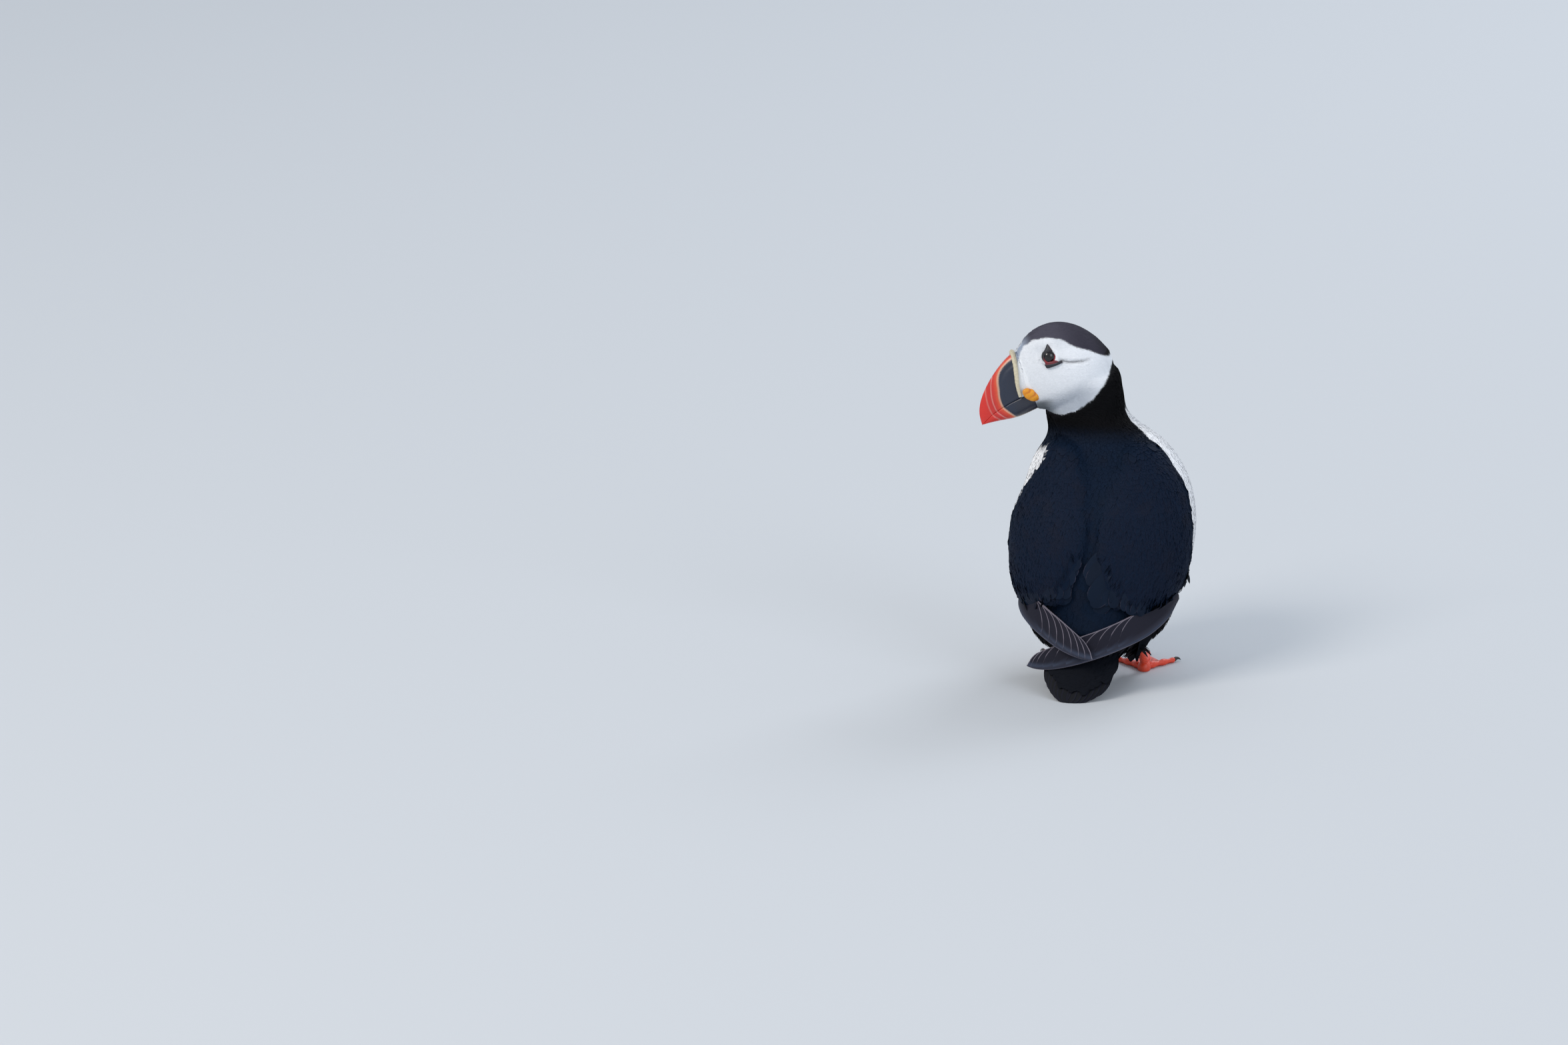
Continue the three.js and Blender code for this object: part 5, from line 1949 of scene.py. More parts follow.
    def wing_ends(self, side: Side) -> Surface:
        """Greater coverts and secondaries across the wing's end, then tertials down its inner edge.

        Args:
            side: which wing.

        Returns:
            The feathers.
        """
        parts = []
        for station, share, length, width, inward, lift in self.layout(side):
            front, back = WING.front(side, station), WING.border(WING.back, station)
            across = front + (back - front) * share
            degrees = across if side > 0 else 180 - across
            place = BODY.point(station, degrees) + BODY.normal(station, degrees) * 4.0
            vane = Vane(length, width, lift, rows=14, columns=13, tip=0.3, fray=0.004, camber=0.15, turn=1.5,
                        taper=0.93, edge=0.6, variety=0.04, tone=0.04, rim=0.91, bend=1.3)
            heading = unit(lie(place) - (side * inward)[:, None] * np.array([[1.0, 0, 0]]))
            parts.append(self.coat.lay(vane, place, heading=heading, margin=self.covert_margin))
        return Surface.joined(parts)

    @staticmethod
    def layout(side: Side) -> list[tuple[Array, Array, float, float, Array, float]]:
        """The rows of large feathers at the wing's end: its lower edge, then its inner edge.

        The coverts hide all but their ends, and the right wing's tertials reach over the left's.

        Args:
            side: which wing.

        Returns:
            Station, share across the wing, length, width, turn inwards and lift for each row.
        """
        reach, turned, lift, end = (26.0, 0.9, 0.5, 18.0) if side is Side.RIGHT else (17.0, 0.4, 0.35, 14.5)
        across, down = 12, 6
        return [
            (np.full(across, 2.05), np.linspace(0.04, 0.92, across), end, 8.0,
             np.linspace(-0.08, 0.06, across), 0.75),
            (np.linspace(2.0, 2.85, down), np.linspace(0.84, 0.9, down), reach, 11.0,
             np.full(down, 0.55) * turned, lift),
        ]

    def build(self) -> None:
        """Makes both wing tips, both wing ends and the tail."""
        vane, slot = self.finish.material(), "flight_feather"
        for side in Side:
            word = side.word
            self.shop.add(f"primaries_{word}", self.primaries(side), vane, slot, [f"wing_{word}_primaries"])
            self.shop.add(f"secondaries_{word}", self.wing_ends(side), vane, slot, weld=False)
        self.shop.add("tail_feathers", self.tail(), vane, slot, ["tail"])


# ------------------------------------------------------------------ bill, eyes and horn


def curve_at(pairs: Sequence[Sequence[float]], t: Array) -> tuple[Array, Array]:
    """Reads a smooth curve through pairs.

    Args:
        pairs: the curve's points.
        t: place along it, from 0 to 1.

    Returns:
        Both values at each place.
    """
    known = np.asarray(pairs, float)
    u = np.asarray(t, float) * (len(known) - 1)
    return through(known[:, 0], u), through(known[:, 1], u)


@dataclass
class Bill:
    """The banded bill with its grooves, the cere ridge and the rosettes at the gape."""

    shop: Workshop
    culmen: Pairs = (
        (17, 10.5), (22.6, 8.6), (28.3, 5.6), (34, 1.8), (39.6, -2.9), (44.5, -8), (48, -13), (50.2, -18.4),
        (51, -25.2))
    mouth: Pairs = ((17, -15.2), (31, -17.6), (42, -20.6), (50.4, -24.6))
    gonys: Pairs = ((14, -26.8), (25, -27.9), (32, -27.7), (41, -26.2), (48.6, -25.1))
    half_root: float = 8.2
    half_tip: float = 1.5
    centre: tuple[float, float] = (15.0, -15.0)
    grooves: tuple[float, ...] = (21.0, 25.4, 28.6)
    groove_depth: float = 0.55
    ridge_at: float = 18.6
    gap: float = 0.14
    gape: tuple[float, float] = (17.8, -15.6)
    # The bands' colours by distance from the bill's centre.
    bands: tuple[tuple[float, str], ...] = (
        (0, "#1c2336"), (20.3, "#1f283b"), (20.7, "#c9a48f"), (21.3, "#d59c7e"), (21.9, "#d9532f"),
        (23.5, "#cf3523"), (24.9, "#c82a22"), (25.4, "#dd8f86"), (25.9, "#c82a24"), (28.0, "#cb2820"),
        (28.6, "#d5776d"), (29.2, "#d3271b"), (60, "#d6281b"))

    def half(self, y: Array, z: Array, share: Array, lower: bool) -> Array:
        """Half width: it narrows to the tip, and a rounded groove runs along each band's edge.

        Args:
            y: place forwards.
            z: place upwards.
            share: how much of the width is there at each place, 0 at the bill's outer edge.
            lower: reads the lower half.

        Returns:
            Half widths, at least a quarter of a millimetre.
        """
        t = np.clip((y - 17) / 34.0, 0, 1)
        radius = self.radius(y, z, lower)
        dent = np.zeros_like(radius)
        for r in self.grooves:
            dent = np.maximum(dent, self.groove_depth * np.exp(-(((radius - r) / 0.55) ** 2)))
        ridge = 0.35 * np.exp(-(((radius - self.ridge_at) / 0.9) ** 2))
        base = self.half_root + (self.half_tip - self.half_root) * t**0.9
        return np.maximum((base - dent + ridge * 0.6) * share, 0.25)

    @staticmethod
    def cere_edge(z: Array) -> Array:
        """How far forward the feathers reach beside the cere."""
        return np.interp(z, [-14.8, -8.2, -2, 4.4, 9.2, 10.6], [22.9, 22.4, 20.9, 19.2, 18.3, 18.2])

    def radius(self, y: Array, z: Array, lower: bool) -> Array:
        """The band coordinate: distance from the bill's centre, and slanted back below the mouth.

        Args:
            y: place forwards.
            z: place upwards.
            lower: reads the lower half.

        Returns:
            One distance per place.
        """
        if not lower:
            return np.hypot(y - self.centre[0], z - self.centre[1])
        line = read_pairs(self.mouth, y)
        return np.hypot(y - self.centre[0], line - self.centre[1]) + 0.55 * np.maximum(line - z, 0)

    def tint(self, y: Array, z: Array, lower: bool) -> Array:
        """Red tip, pale grooves, orange band, cream line and slate base.

        Args:
            y: place forwards.
            z: place upwards.
            lower: colours the lower half.

        Returns:
            One linear colour per place, in one row.
        """
        radius = self.radius(y, z, lower)
        if not lower:
            radius = radius - 2.6 * smoothstep(-9, 4, z) * smoothstep(27, 23, radius)
        known = [place for place, _ in self.bands]
        colours = np.array([linear(colour) for _, colour in self.bands])
        flat = np.stack([np.interp(radius.ravel(), known, colours[:, k]) for k in range(3)], axis=1)
        y, z = y.ravel(), z.ravel()
        if lower:
            edge = read_pairs(self.gonys, y)
            pale = smoothstep(1.4, 0.3, z - edge) * smoothstep(36, 28, y)
            flat = mix(flat, linear("#b9a58c"), 0.75 * pale)
            flat = mix(flat, linear("#2a2a33"), 0.5 * smoothstep(31, 26, y) * (1 - pale))
        return flat

    def mandible(self, lower: bool, steps: int = 150, rows: int = 34) -> Surface:
        """One half of the bill between its outer edge and the mouth line, both flanks.

        Args:
            lower: the lower half instead of the upper.
            steps: rings along it.
            rows: points down each flank.

        Returns:
            The half, with its colours.
        """
        t = np.linspace(0, 1, steps)[:, None]
        drop = -self.gap / 2 if lower else self.gap / 2
        edge_y, edge_z = curve_at(self.gonys if lower else self.culmen, t)
        line_y, line_z = curve_at(self.mouth, t)
        q = (1 - np.cos(np.pi * np.linspace(0, 1, rows))) / 2
        middle = rows // 2
        q = np.sort(np.concatenate([q[:middle], np.linspace(q[middle], 1, rows - middle)]))[None, :]
        y = edge_y + (line_y - edge_y) * q
        z = edge_z + (line_z + drop - edge_z) * q
        share = np.sin(np.pi / 2 * np.minimum(1, q * 1.25 + 0.02)) ** (0.4 if lower else 0.5)
        x = self.half(y, z, share, lower)
        x = x * np.where(q > 0.93, 1 - 0.08 * ((q - 0.93) / 0.07) ** 2, 1)
        right = np.stack([x, y, z], axis=-1)
        left = right[:, ::-1] * np.array([-1.0, 1, 1])
        ring = np.concatenate([right, left], axis=1)
        colour = self.tint(y, z, lower).reshape(y.shape + (3,))
        both = np.concatenate([colour, colour[:, ::-1]], axis=1)
        if not lower:
            # Behind the cere the velvet covers the horn.
            flat = ring.reshape(-1, 3)
            under = smoothstep(0.6, 0.0, flat[:, 1] - self.cere_edge(flat[:, 2])).reshape(both.shape[:2])
            both = both + (MARKINGS.head_tint(flat).reshape(both.shape) - both) * under[..., None]
        return Surface.capped(HEAD.out(ring)).painted(both)

    def cere(self) -> Surface:
        """The pale fleshy ridge round the bill's root, lightly beaded."""
        knots = [(8.1, 23.9, -14.8), (8.3, 23.4, -8.2), (7.6, 21.9, -2), (5.9, 20.2, 4.4), (3.2, 19.3, 9.2)]
        both = knots + [(0, 19.2, 10.6)] + [(-x, y, z) for x, y, z in reversed(knots)]
        path, along = smooth_path(both, 160)
        out = square_to(along, 1)
        t = np.linspace(0, 1, 160)
        size = 1.5 * (0.45 + 0.55 * np.sin(np.pi * np.clip(t, 0.08, 0.92)) ** 0.5)
        size = size * (1 + 0.035 * np.sin(t * 170) + 0.03 * np.sin(t * 67 + 1))
        made = carried(HEAD.out(path), np.cross(along, out) @ HEAD.turn.T, out @ HEAD.turn.T, size, size, 20)
        local = HEAD.back(made.points)
        pits = 0.5 + 0.5 * noise(local, 1.6, 8)
        beaded = mix(linear("#d9d0b4"), linear("#b3a587"), 0.5 * pits)
        made.tint = mix(beaded, linear("#8d8372"), 0.5 * smoothstep(20.6, 18.8, local[:, 1]))
        return made

    def rosette(self, side: Side) -> Surface:
        """Soft wrinkled orange skin at the corner of the mouth: a long ball folded across its length.

        Args:
            side: which corner.

        Returns:
            The rosette.
        """
        u, v = ball_angles(48, 72)
        ball = np.stack([np.cos(v) * np.sin(u), np.cos(u), np.sin(v) * np.sin(u)], axis=-1)
        folds = np.sin(ball[..., 1] * 8.5 + 1.2 * np.sin(ball[..., 2] * 3)) * (0.6 + 0.4 * ball[..., 2])
        pucker = 1 - 0.055 * (1 - folds) * (1 - ball[..., 1] ** 2) ** 0.5
        local = ball * np.array([1.9, 5.6, 3.5]) * pucker[..., None]
        turn = math.radians(52)
        y = local[..., 1] * math.cos(turn) - local[..., 2] * math.sin(turn)
        z = local[..., 1] * math.sin(turn) + local[..., 2] * math.cos(turn)
        middle = side * (float(HEAD.half(*self.gape)) - 0.2)
        placed = np.stack([local[..., 0] + middle, y + self.gape[0], z + self.gape[1]], axis=-1)
        made = Surface.grid(HEAD.out(placed), wrap=True)
        # Painted shade: darker in the grooves between the folds.
        groove = smoothstep(0.1, -0.9, folds).ravel()
        rim = (np.abs(ball[..., 1]) ** 3).ravel()
        wrinkled = mix(linear("#e79a17"), linear("#b9590c"), 0.75 * groove)
        made.tint = mix(wrinkled, linear("#c9711a"), 0.4 * rim)
        return made

    def build(self) -> None:
        """Makes each part of the bill in place of its plainer solid."""
        horn = HornFinish("bill_keratin", 0.36, coat=0.15, grain=1.4, mottle=0.1, subsurface=0.03).material()
        soft = HornFinish("cere_horn", 0.55, grain=0.9, relief=0.08, mottle=0.14).material()
        skin = HornFinish("rosette_skin", 0.45, grain=0.7, relief=0.1, subsurface=0.1).material()
        for lower, word in ((False, "upper"), (True, "lower")):
            self.shop.add(f"bill_{word}_dressed", self.mandible(lower), horn, "bill_horn", [f"bill_{word}"])
        self.shop.add("cere_dressed", self.cere(), soft, "cere_horn", ["bill_cere"])
        for side in Side:
            node = f"rosette_{side.word}"
            self.shop.add(f"rosette_dressed_{side.word}", self.rosette(side), skin, "rosette_skin", [node])


@dataclass
class Eyes:
    """Dark glossy eyeballs, each with a red rim and two horny plates."""

    shop: Workshop
    upper: Pairs = ((2.7, 6.8), (-3.3, 6.4), (-1.9, 11.2))
    lower: Pairs = ((4.3, 0.5), (3.7, -2.2), (-6.4, -1.5), (-6.2, -0.3))
    lid: Pairs = ((3.5, 2.0), (3.7, 0.0), (-4.8, -0.8), (-3.2, 1.0))
    rim_radius: float = 3.35

    def ball(self, side: Side) -> Surface:
        """An eyeball: near-black pupil in a dark brown iris.

        Args:
            side: which eye.

        Returns:
            The ball.
        """
        u, v = ball_angles(40, 64)
        ball = np.stack([side * np.cos(u), np.cos(v) * np.sin(u), np.sin(v) * np.sin(u)], axis=-1)
        made = Surface.grid(HEAD.out(ball * HEAD.eye_radius + HEAD.eye(side)), wrap=True)
        iris = smoothstep(24, 28, np.degrees(u).ravel())
        made.tint = mix(linear("#010102"), linear("#0c0809"), iris)
        return made

    def rim(self, side: Side) -> Surface:
        """The thin red ring of bare skin round the eye, thicker below.

        Args:
            side: which eye.

        Returns:
            The ring.
        """
        angle = np.linspace(0, 2 * np.pi, 97)[:-1]
        radius = self.rim_radius + 0.15 * np.sin(angle)
        x = HEAD.eye(side)[0] + side * (np.sqrt(HEAD.eye_radius**2 - 3.2**2) + 0.05)
        y, z = radius * np.cos(angle), HEAD.eye_height + radius * np.sin(angle)
        path = np.stack([np.full(len(angle), x), y, z], axis=1)
        size = 0.3 + 0.24 * smoothstep(0.3, -0.7, np.sin(angle)) + 0.03 * np.sin(angle * 19)
        around = np.linspace(0, 2 * np.pi, 12, endpoint=False)
        outward = np.stack([0 * angle, np.cos(angle), np.sin(angle)], axis=1)
        c, s = np.cos(around)[None, :, None], np.sin(around)[None, :, None]
        ring = path[:, None] + size[:, None, None] * (c * outward[:, None] + s * np.array([side, 0, 0]))
        closed = np.concatenate([ring, ring[:1]])
        made = Surface.grid(HEAD.out(closed), wrap=True)
        below = smoothstep(0.6, -0.4, np.sin(np.append(angle, angle[0])))
        made.tint = np.repeat(mix(linear("#1c1a20"), linear("#97262d"), below), 12, axis=0)
        return made

    def plate(self, outline: Sequence[Sequence[float]], side: Side, tall: float) -> Surface:
        """A horny plate: its outline drawn in over a rounded crown.

        Args:
            outline: corners on the head's side view.
            side: which eye.
            tall: height over the face.

        Returns:
            The plate.
        """
        corners = np.asarray(outline, float)
        middle = corners.mean(axis=0)
        u = np.linspace(0, len(corners), 96, endpoint=False)
        i = u.astype(int)
        t = (u - i)[:, None]
        edge = corners[i] * (1 - t) + corners[(i + 1) % len(corners)] * t
        soft = sum(np.roll(edge, k, axis=0) for k in range(-4, 5)) / 9
        depth = np.linspace(0, 1, 14)
        shrink = np.cos(depth * np.pi / 2) ** 0.45
        rise = tall * np.sin(depth * np.pi / 2) ** 0.8
        base = float(HEAD.half(middle[0], middle[1]))
        rings = []
        for scale, lift in [(1.0, -2.5)] + list(zip(shrink, rise)):
            spot = middle + (soft - middle) * max(scale, 0.02)
            surface = np.minimum(HEAD.half(spot[:, 0], spot[:, 1]), base + 0.5)
            rings.append(np.stack([side * (surface - 0.35 + lift), spot[:, 0], spot[:, 1]], axis=1))
        return Surface.capped(HEAD.out(np.stack(rings)))

    def build(self) -> None:
        """Makes both eyes, rims and plates in place of their plainer solids."""
        cornea = HornFinish("eye_cornea", 0.07, coat=0.25, grain=3.0, relief=0.0, mottle=0.02).material()
        rim = HornFinish("eye_ring_skin", 0.4, grain=0.5, mottle=0.15, subsurface=0.1).material()
        horn = HornFinish("eye_plate_horn", 0.42, grain=0.9, relief=0.06, mottle=0.16).material()
        plates = (("upper", self.upper, 1.0, (-1.2, -2.6)), ("lower", self.lower, 0.95, (-4.5, -7)))
        for side in Side:
            word = side.word
            self.shop.add(f"eyeball_{word}", self.ball(side), cornea, "eye", [f"eye_{word}"])
            self.shop.add(f"eye_rim_{word}", self.rim(side), rim, "eye_plate")
            for where, outline, tall, reddens in plates:
                plate = self.plate(outline, side, tall)
                rear = smoothstep(*reddens, HEAD.back(plate.points)[:, 1])
                plate.tint = mix(linear("#161a23"), linear("#40262a"), 0.6 * rear)
                node = f"eye_plate_{where}_{word}"
                self.shop.add(f"plate_{where}_dressed_{word}", plate, horn, "eye_plate", [node])
            fold = self.plate(self.lid, side, 0.9)
            fold.tint = plain("#6e222b", len(fold.points))
            self.shop.add(f"eye_lid_{word}", fold, rim, "eye_plate")


# ------------------------------------------------------------------ legs and feet


@dataclass
class Legs:
    """Scaled orange tarsi, webbed feet pressed flat on the floor, and curved claws."""

    shop: Workshop
    joint: tuple[float, float, float] = (24.5, 2.0, 4.6)
    toes: tuple[tuple[str, float, float], ...] = (("inner", -52, 23), ("middle", -4, 30), ("outer", 38, 25))
    scutes: float = 15.0
    toe_radius: float = 2.3
    toe_scute: float = 1.9
    claw_length: float = 4.6
    claw_rise: tuple[float, ...] = (1.7, 2.2, 1.8, 0.7)

    def tarsus(self, side: Side) -> Surface:
        """A leg with overlapping scutes down its front and small round scales behind.

        Args:
            side: which leg.

        Returns:
            The leg below its feathers.
        """
        knots = [(23.2, -4.9, 28), (23.2, -5.5, 21), (23.6, -3.2, 13), (24.5, 1.4, 6), (24.5, 3.0, 2.2)]
        path, along = smooth_path([(side * x, y, z) for x, y, z in knots], 130)
        out = square_to(along, 1)
        across = np.cross(along, out)
        t = np.linspace(0, 1, len(path))
        size = through((2.6, 3.1, 2.1, 2.7, 2.2), t * 4)
        angle = np.linspace(0, 2 * np.pi, 40, endpoint=False)
        c, s = np.cos(angle)[None, :, None], np.sin(angle)[None, :, None]
        front = 0.5 + 0.5 * np.sin(angle)
        scuted = smoothstep(0.45, 0.8, front)[None]
        saw = (t * self.scutes) % 1.0
        scutes = 0.16 * (saw**1.6)[:, None] * scuted
        scales = 0.07 * (np.sin(t * 190)[:, None] * np.sin(angle * 9 + t[:, None] * 95))
        scales = scales * smoothstep(0.6, 0.3, front)[None]
        reach = size[:, None] - 0.2 + scutes + scales
        ring = path[:, None] + reach[..., None] * (c * across[:, None] + 1.25 * s * out[:, None])
        # Painted shade: darker in the grooves between the scutes, in the dips between the scales behind, and
        # at the top of the leg under the thigh feathers.
        groove = np.maximum(smoothstep(0.25, 0.0, saw)[:, None] * scuted, smoothstep(-0.01, -0.06, scales))
        colour = mix(linear("#e2421e"), linear("#8d2412"), 0.7 * groove)
        upper = smoothstep(0.35, 0.05, t)[:, None] * np.ones_like(groove)
        return Surface.capped(ring).painted(mix(colour, linear("#a23a22"), 0.35 * upper))

    def toe_point(self, side: Side, turn: float, length: float, t: Array) -> Array:
        """A straight line from the foot's joint, a little lower at the tip.

        Args:
            side: which foot.
            turn: the toe's angle outwards from straight ahead.
            length: from joint to tip.
            t: place along it, from 0 to 1.

        Returns:
            Points in millimetres.
        """
        bend = math.radians(turn)
        return np.stack([side * (self.joint[0] + t * length * math.sin(bend)),
                         self.joint[1] + t * length * math.cos(bend), 2.3 - 0.7 * t], axis=-1)

    def toe(self, side: Side, turn: float, length: float) -> Surface:
        """A toe with three soft swellings and scutes over its top, cut flat underneath.

        Args:
            side: which foot.
            turn: the toe's angle outwards.
            length: from joint to tip.

        Returns:
            The toe.
        """
        t = np.linspace(-0.1, 1, 90)
        path = self.toe_point(side, turn, length, t)
        along = unit(np.gradient(path, axis=0))
        across = unit(np.cross(along, np.array([0, 0, 1.0])))
        u = (t + 0.1) / 1.1
        size = self.toe_radius * (0.78 + 0.16 * np.cos(6 * np.pi * u)) * (1.12 - 0.3 * u)
        size = size * np.sqrt(np.clip(1 - ((u - 0.93) / 0.08).clip(0, 1) ** 2, 0.02, 1))
        angle = np.linspace(0, 2 * np.pi, 30, endpoint=False)
        c, s = np.cos(angle)[None, :, None], np.sin(angle)[None, :, None]
        saw = (t * length / self.toe_scute) % 1.0
        reach = size[:, None] + 0.1 * (saw**1.5)[:, None] * smoothstep(0.1, 0.7, np.sin(angle))[None] - 0.06
        ring = path[:, None] + reach[..., None] * (c * across[:, None] + s * np.array([0, 0, 1.05]))
        ring[..., 2] = np.maximum(ring[..., 2], 0.0)
        # Painted shade: darker in the grooves between the scutes on the toe's top.
        groove = smoothstep(0.22, 0.0, saw)[:, None] * smoothstep(0.1, 0.6, np.sin(angle))[None]
        return Surface.capped(ring).painted(mix(linear("#e8482a"), linear("#9a2a16"), 0.65 * groove))

    def web(self, side: Side, first: int, second: int) -> Surface:
        """The skin between two toes: thin, sagging between them, its front edge curved inwards.

        Args:
            side: which foot.
            first: one toe's number.
            second: the other's.

        Returns:
            The web.
        """
        u, v = np.meshgrid(np.linspace(-0.06, 1, 46), np.linspace(0, 1, 34), indexing="ij")
        ends = [self.toe_point(side, self.toes[k][1], self.toes[k][2], 0.95 * u) for k in (first, second)]
        flat = ends[0] * (1 - v)[..., None] + ends[1] * v[..., None]
        heel = self.toe_point(side, self.toes[1][1], self.toes[1][2], np.full_like(u, -0.1))
        pull = 0.17 * 4 * v * (1 - v) * u.clip(0, 1)
        flat = flat + (heel - flat) * pull[..., None]
        folds = 0.1 * np.sin(v * 26 + u * 5) * np.sin(np.pi * v) * smoothstep(0.1, 0.9, u)
        edge = np.minimum(1, (1 - u) * 9)
        top, low = flat.copy(), flat.copy()
        top[..., 2] = 0.75 + 0.4 * edge + 0.5 * (2 * v - 1) ** 6 * edge + folds
        low[..., 2] = 0.02
        ring = np.concatenate([top, low[:, ::-1]], axis=1)
        # Painted shade: darker in the troughs of the folds.
        shade = smoothstep(0.02, -0.1, np.concatenate([folds, folds[:, ::-1]], axis=1))
        return Surface.capped(ring).painted(mix(linear("#d84326"), linear("#a53018"), shade))

    def foot(self, side: Side) -> Surface:
        """Toes, webs and the pad under the joint.

        Args:
            side: which foot.

        Returns:
            The foot.
        """
        parts = [self.toe(side, turn, length) for _, turn, length in self.toes]
        parts += [self.web(side, 0, 1), self.web(side, 1, 2)]
        u, v = ball_angles(24, 36)
        pad = np.stack([4.0 * np.cos(v) * np.sin(u), 4.6 * np.sin(v) * np.sin(u), 4.2 * np.cos(u)], axis=-1)
        pad = pad + np.array([side * self.joint[0], self.joint[1], 2.0])
        pad[..., 2] = np.maximum(pad[..., 2], 0.0)
        ball = Surface.grid(pad, wrap=True)
        ball.tint = plain("#dc4426", len(ball.points))
        return Surface.joined(parts + [ball])

    def claw(self, side: Side, turn: float, length: float) -> Surface:
        """A curved black claw, a tube that tapers along its path.

        Args:
            side: which foot.
            turn: its toe's angle outwards.
            length: its toe's length.

        Returns:
            The claw.
        """
        bend = math.radians(turn)
        along = np.array([side * math.sin(bend), math.cos(bend), 0])
        root = self.toe_point(side, turn, length, np.array(1.0)) + along * 0.1
        knots = [np.append((root + along * (k / 3) * (self.claw_length + 0.5))[:2], z)
                 for k, z in enumerate(self.claw_rise)]
        path, way = smooth_path(knots, 30)
        t = np.linspace(0, 1, len(path))
        out = square_to(way, 2)
        around = 18
        made = carried(path, np.cross(way, out), out, 1.2 - 0.95 * t**1.3, 1.35 - 1.1 * t**1.3, around)
        made.points[:, 2] = np.maximum(made.points[:, 2], 0.0)
        darker = np.concatenate([[0], t, [1]])
        made.tint = np.repeat(mix(linear("#2a2321"), linear("#121011"), darker), around, axis=0)
        return made

    def build(self) -> None:
        """Makes legs, feet and claws in place of their plainer solids."""
        skin = HornFinish("leg_scaled_skin", 0.4, grain=0.8, relief=0.06, subsurface=0.06).material()
        claws = HornFinish("claw_keratin", 0.3, coat=0.1, relief=0.02, mottle=0.1, stretch=(1, 1, 3))
        horn = claws.material()
        for side in Side:
            word = side.word
            self.shop.add(f"tarsus_dressed_{word}", self.tarsus(side), skin, "leg_skin", [f"tarsus_{word}"])
            self.shop.add(f"foot_dressed_{word}", self.foot(side), skin, "leg_skin", [f"foot_{word}"])
            for name, turn, length in self.toes:
                claw = self.claw(side, turn, length)
                self.shop.add(f"claw_dressed_{word}_{name}", claw, horn, "claw", [f"claw_{word}_{name}"])


# ------------------------------------------------------------------ stage


@dataclass(frozen=True)
class Lamp:
    """A square soft light: where it stands, what it faces, its width in metres, its power and its colour."""

    name: str
    place: tuple[float, float, float]
    aim: tuple[float, float, float]
    width: float
    watts: float
    colour: str

    def build(self) -> None:
        """Puts the light in the scene."""
        data = bpy.data.lights.new(self.name, "AREA")
        data.shape, data.size, data.energy = "SQUARE", self.width, self.watts
        data.color = tuple(linear(self.colour))
        made = added(self.name, data)
        made.location = self.place
        made.rotation_euler = (Vector(self.aim) - Vector(self.place)).to_track_quat("-Z", "Y").to_euler()


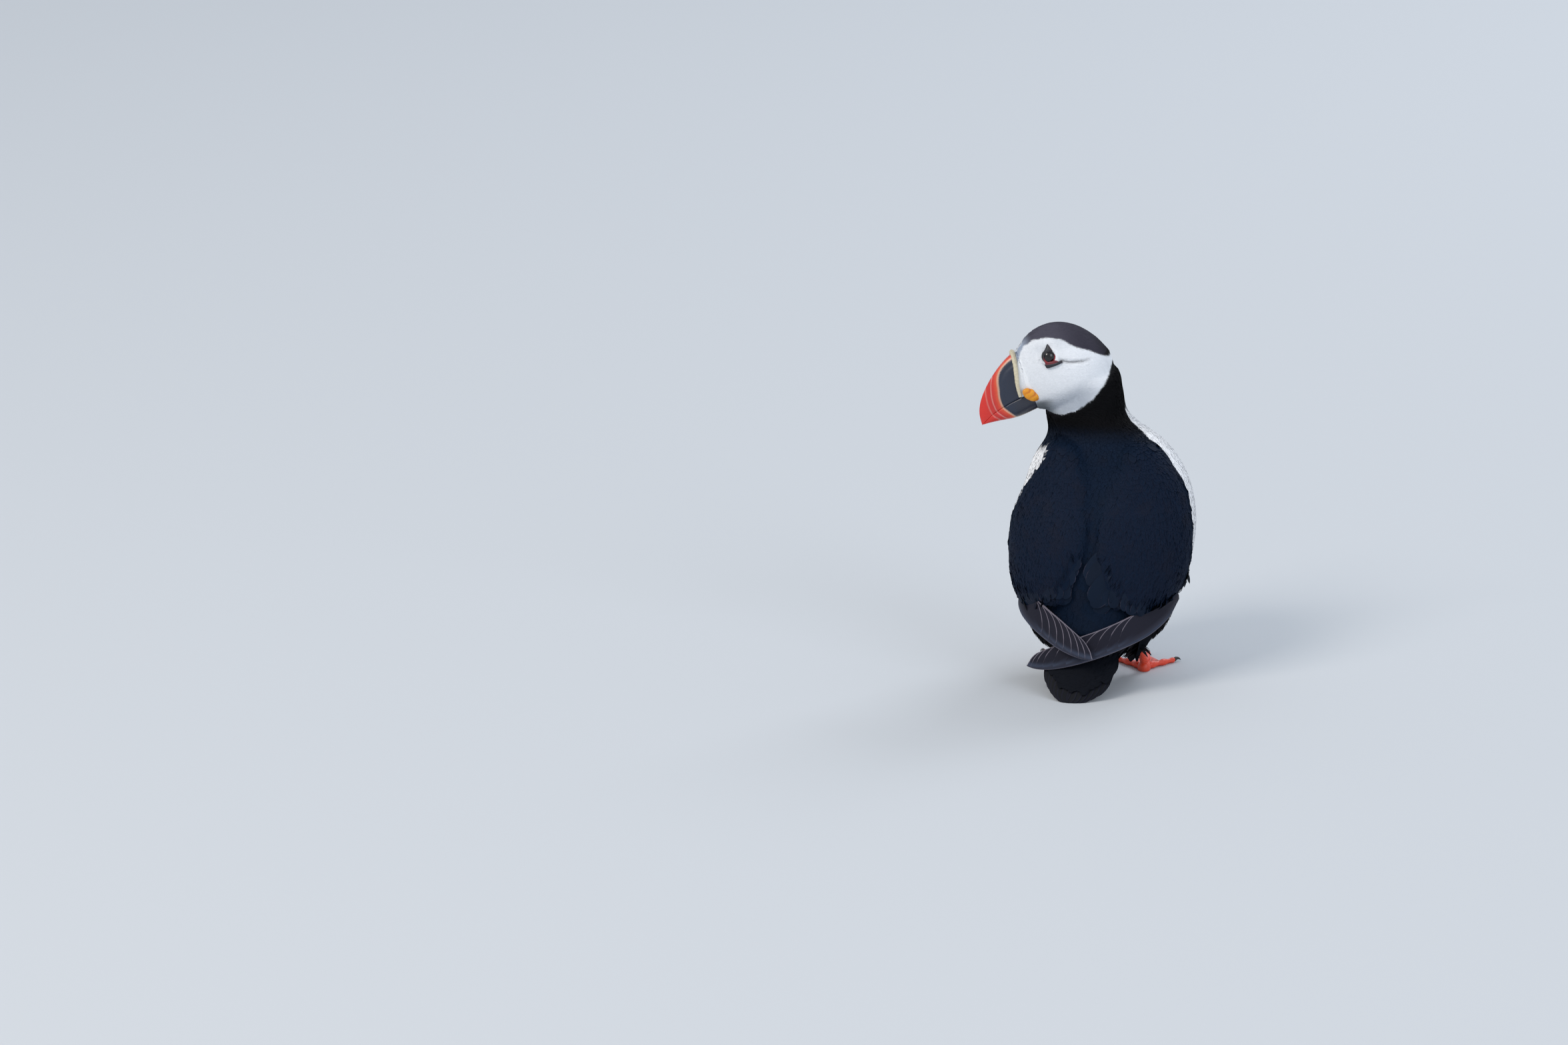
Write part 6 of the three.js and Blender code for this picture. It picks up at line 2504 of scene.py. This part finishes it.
@dataclass(frozen=True)
class Studio:
    """A pale floor, soft light from the sky's side, and the camera, in metres and degrees."""

    azimuth: float = 12.0
    elevation: float = 16.0
    distance: float = 3.9
    lens: float = 149.3
    sensor: float = 36.0
    aim_height: float = 0.1
    aim_right: float = -0.1822
    aim_up: float = -0.0066
    floor: str = "#c9cdd1"
    floor_reach: float = 12.0
    sky: str = "#dfe6ef"
    sky_strength: float = 0.75
    lamps: tuple[Lamp, ...] = (
        Lamp("key", (-2.2, -2.6, 3.2), (0, 0, 0.1), 1.8, 95.0, "#fff8f0"),
        Lamp("fill", (2.8, -2.0, 1.8), (0, 0, 0.12), 2.2, 30.0, "#eef4ff"),
        Lamp("rim", (1.2, 2.8, 2.6), (0, 0, 0.12), 1.6, 45.0, "#f4f8ff"),
    )

    def camera(self) -> None:
        """Looks past the bird so that it stands to the right of the middle."""
        azimuth, elevation = math.radians(self.azimuth), math.radians(self.elevation)
        level = math.cos(elevation)
        toward = np.array([math.sin(azimuth) * level, -math.cos(azimuth) * level, math.sin(elevation)])
        right = np.array([math.cos(azimuth), math.sin(azimuth), 0])
        up = np.cross(toward, right)
        target = np.array([0, 0, self.aim_height]) + right * self.aim_right + up * self.aim_up
        data = bpy.data.cameras.new("camera")
        data.lens, data.sensor_width, data.clip_end = self.lens, self.sensor, 50.0
        made = added("camera", data)
        made.location = target + toward * self.distance
        made.rotation_euler = (math.pi / 2 - elevation, 0, azimuth)
        bpy.context.scene.camera = made

    def ground(self) -> None:
        """A wide matt painted floor."""
        data = bpy.data.meshes.new("floor")
        reach = self.floor_reach
        corners = [(-reach, -reach, 0), (reach, -reach, 0), (reach, reach, 0), (-reach, reach, 0)]
        data.from_pydata(corners, [], [(0, 1, 2, 3)])
        floor = added("floor", data)
        paint_colour = (*linear(self.floor), 1.0)
        recipe = Recipe("studio_floor_paint")
        data.materials.append(recipe.finish(Base_Color=paint_colour, Roughness=0.85, Specular_IOR_Level=0.2))

    def build(self) -> None:
        """Makes floor, world, lights and camera."""
        self.ground()
        world = bpy.data.worlds.new("studio_world")
        world.use_nodes = True
        background = world.node_tree.nodes["Background"]
        background.inputs["Color"].default_value = (*linear(self.sky), 1.0)
        background.inputs["Strength"].default_value = self.sky_strength
        bpy.context.scene.world = world
        bpy.context.scene.view_settings.view_transform = "Standard"
        for lamp in self.lamps:
            lamp.build()
        self.camera()


def main() -> None:
    """Builds the bird in order and logs how many pieces and triangles it has."""
    logging.basicConfig(level=logging.INFO, format="%(message)s")
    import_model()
    Studio().build()
    shop = Workshop.placed()
    LOG.info("solids stand at %s mm from the drawing", np.round(shop.shift, 2))
    coat = Coat(Skin(shop).build(), np.random.default_rng(SEED))
    soft = FeatherFinish("down_and_contour_feather", barb=0.34, contrast=0.12, roughness=0.8)
    stiff = FeatherFinish("wing_covert_feather", barb=0.4, contrast=0.2, roughness=0.66, gloss=0.09)
    vaned = FeatherFinish("flight_feather_vane", barb=0.42, contrast=0.22, roughness=0.6, gloss=0.14)
    Plumage(coat, shop, soft, stiff, density=1.0).build()
    FlightFeathers(coat, shop, vaned).build()
    Bill(shop).build()
    Eyes(shop).build()
    Legs(shop).build()
    LOG.info("%d pieces, %d triangles in all", len(shop.made), sum(shop.made.values()))


if __name__ == "__main__":
    main()
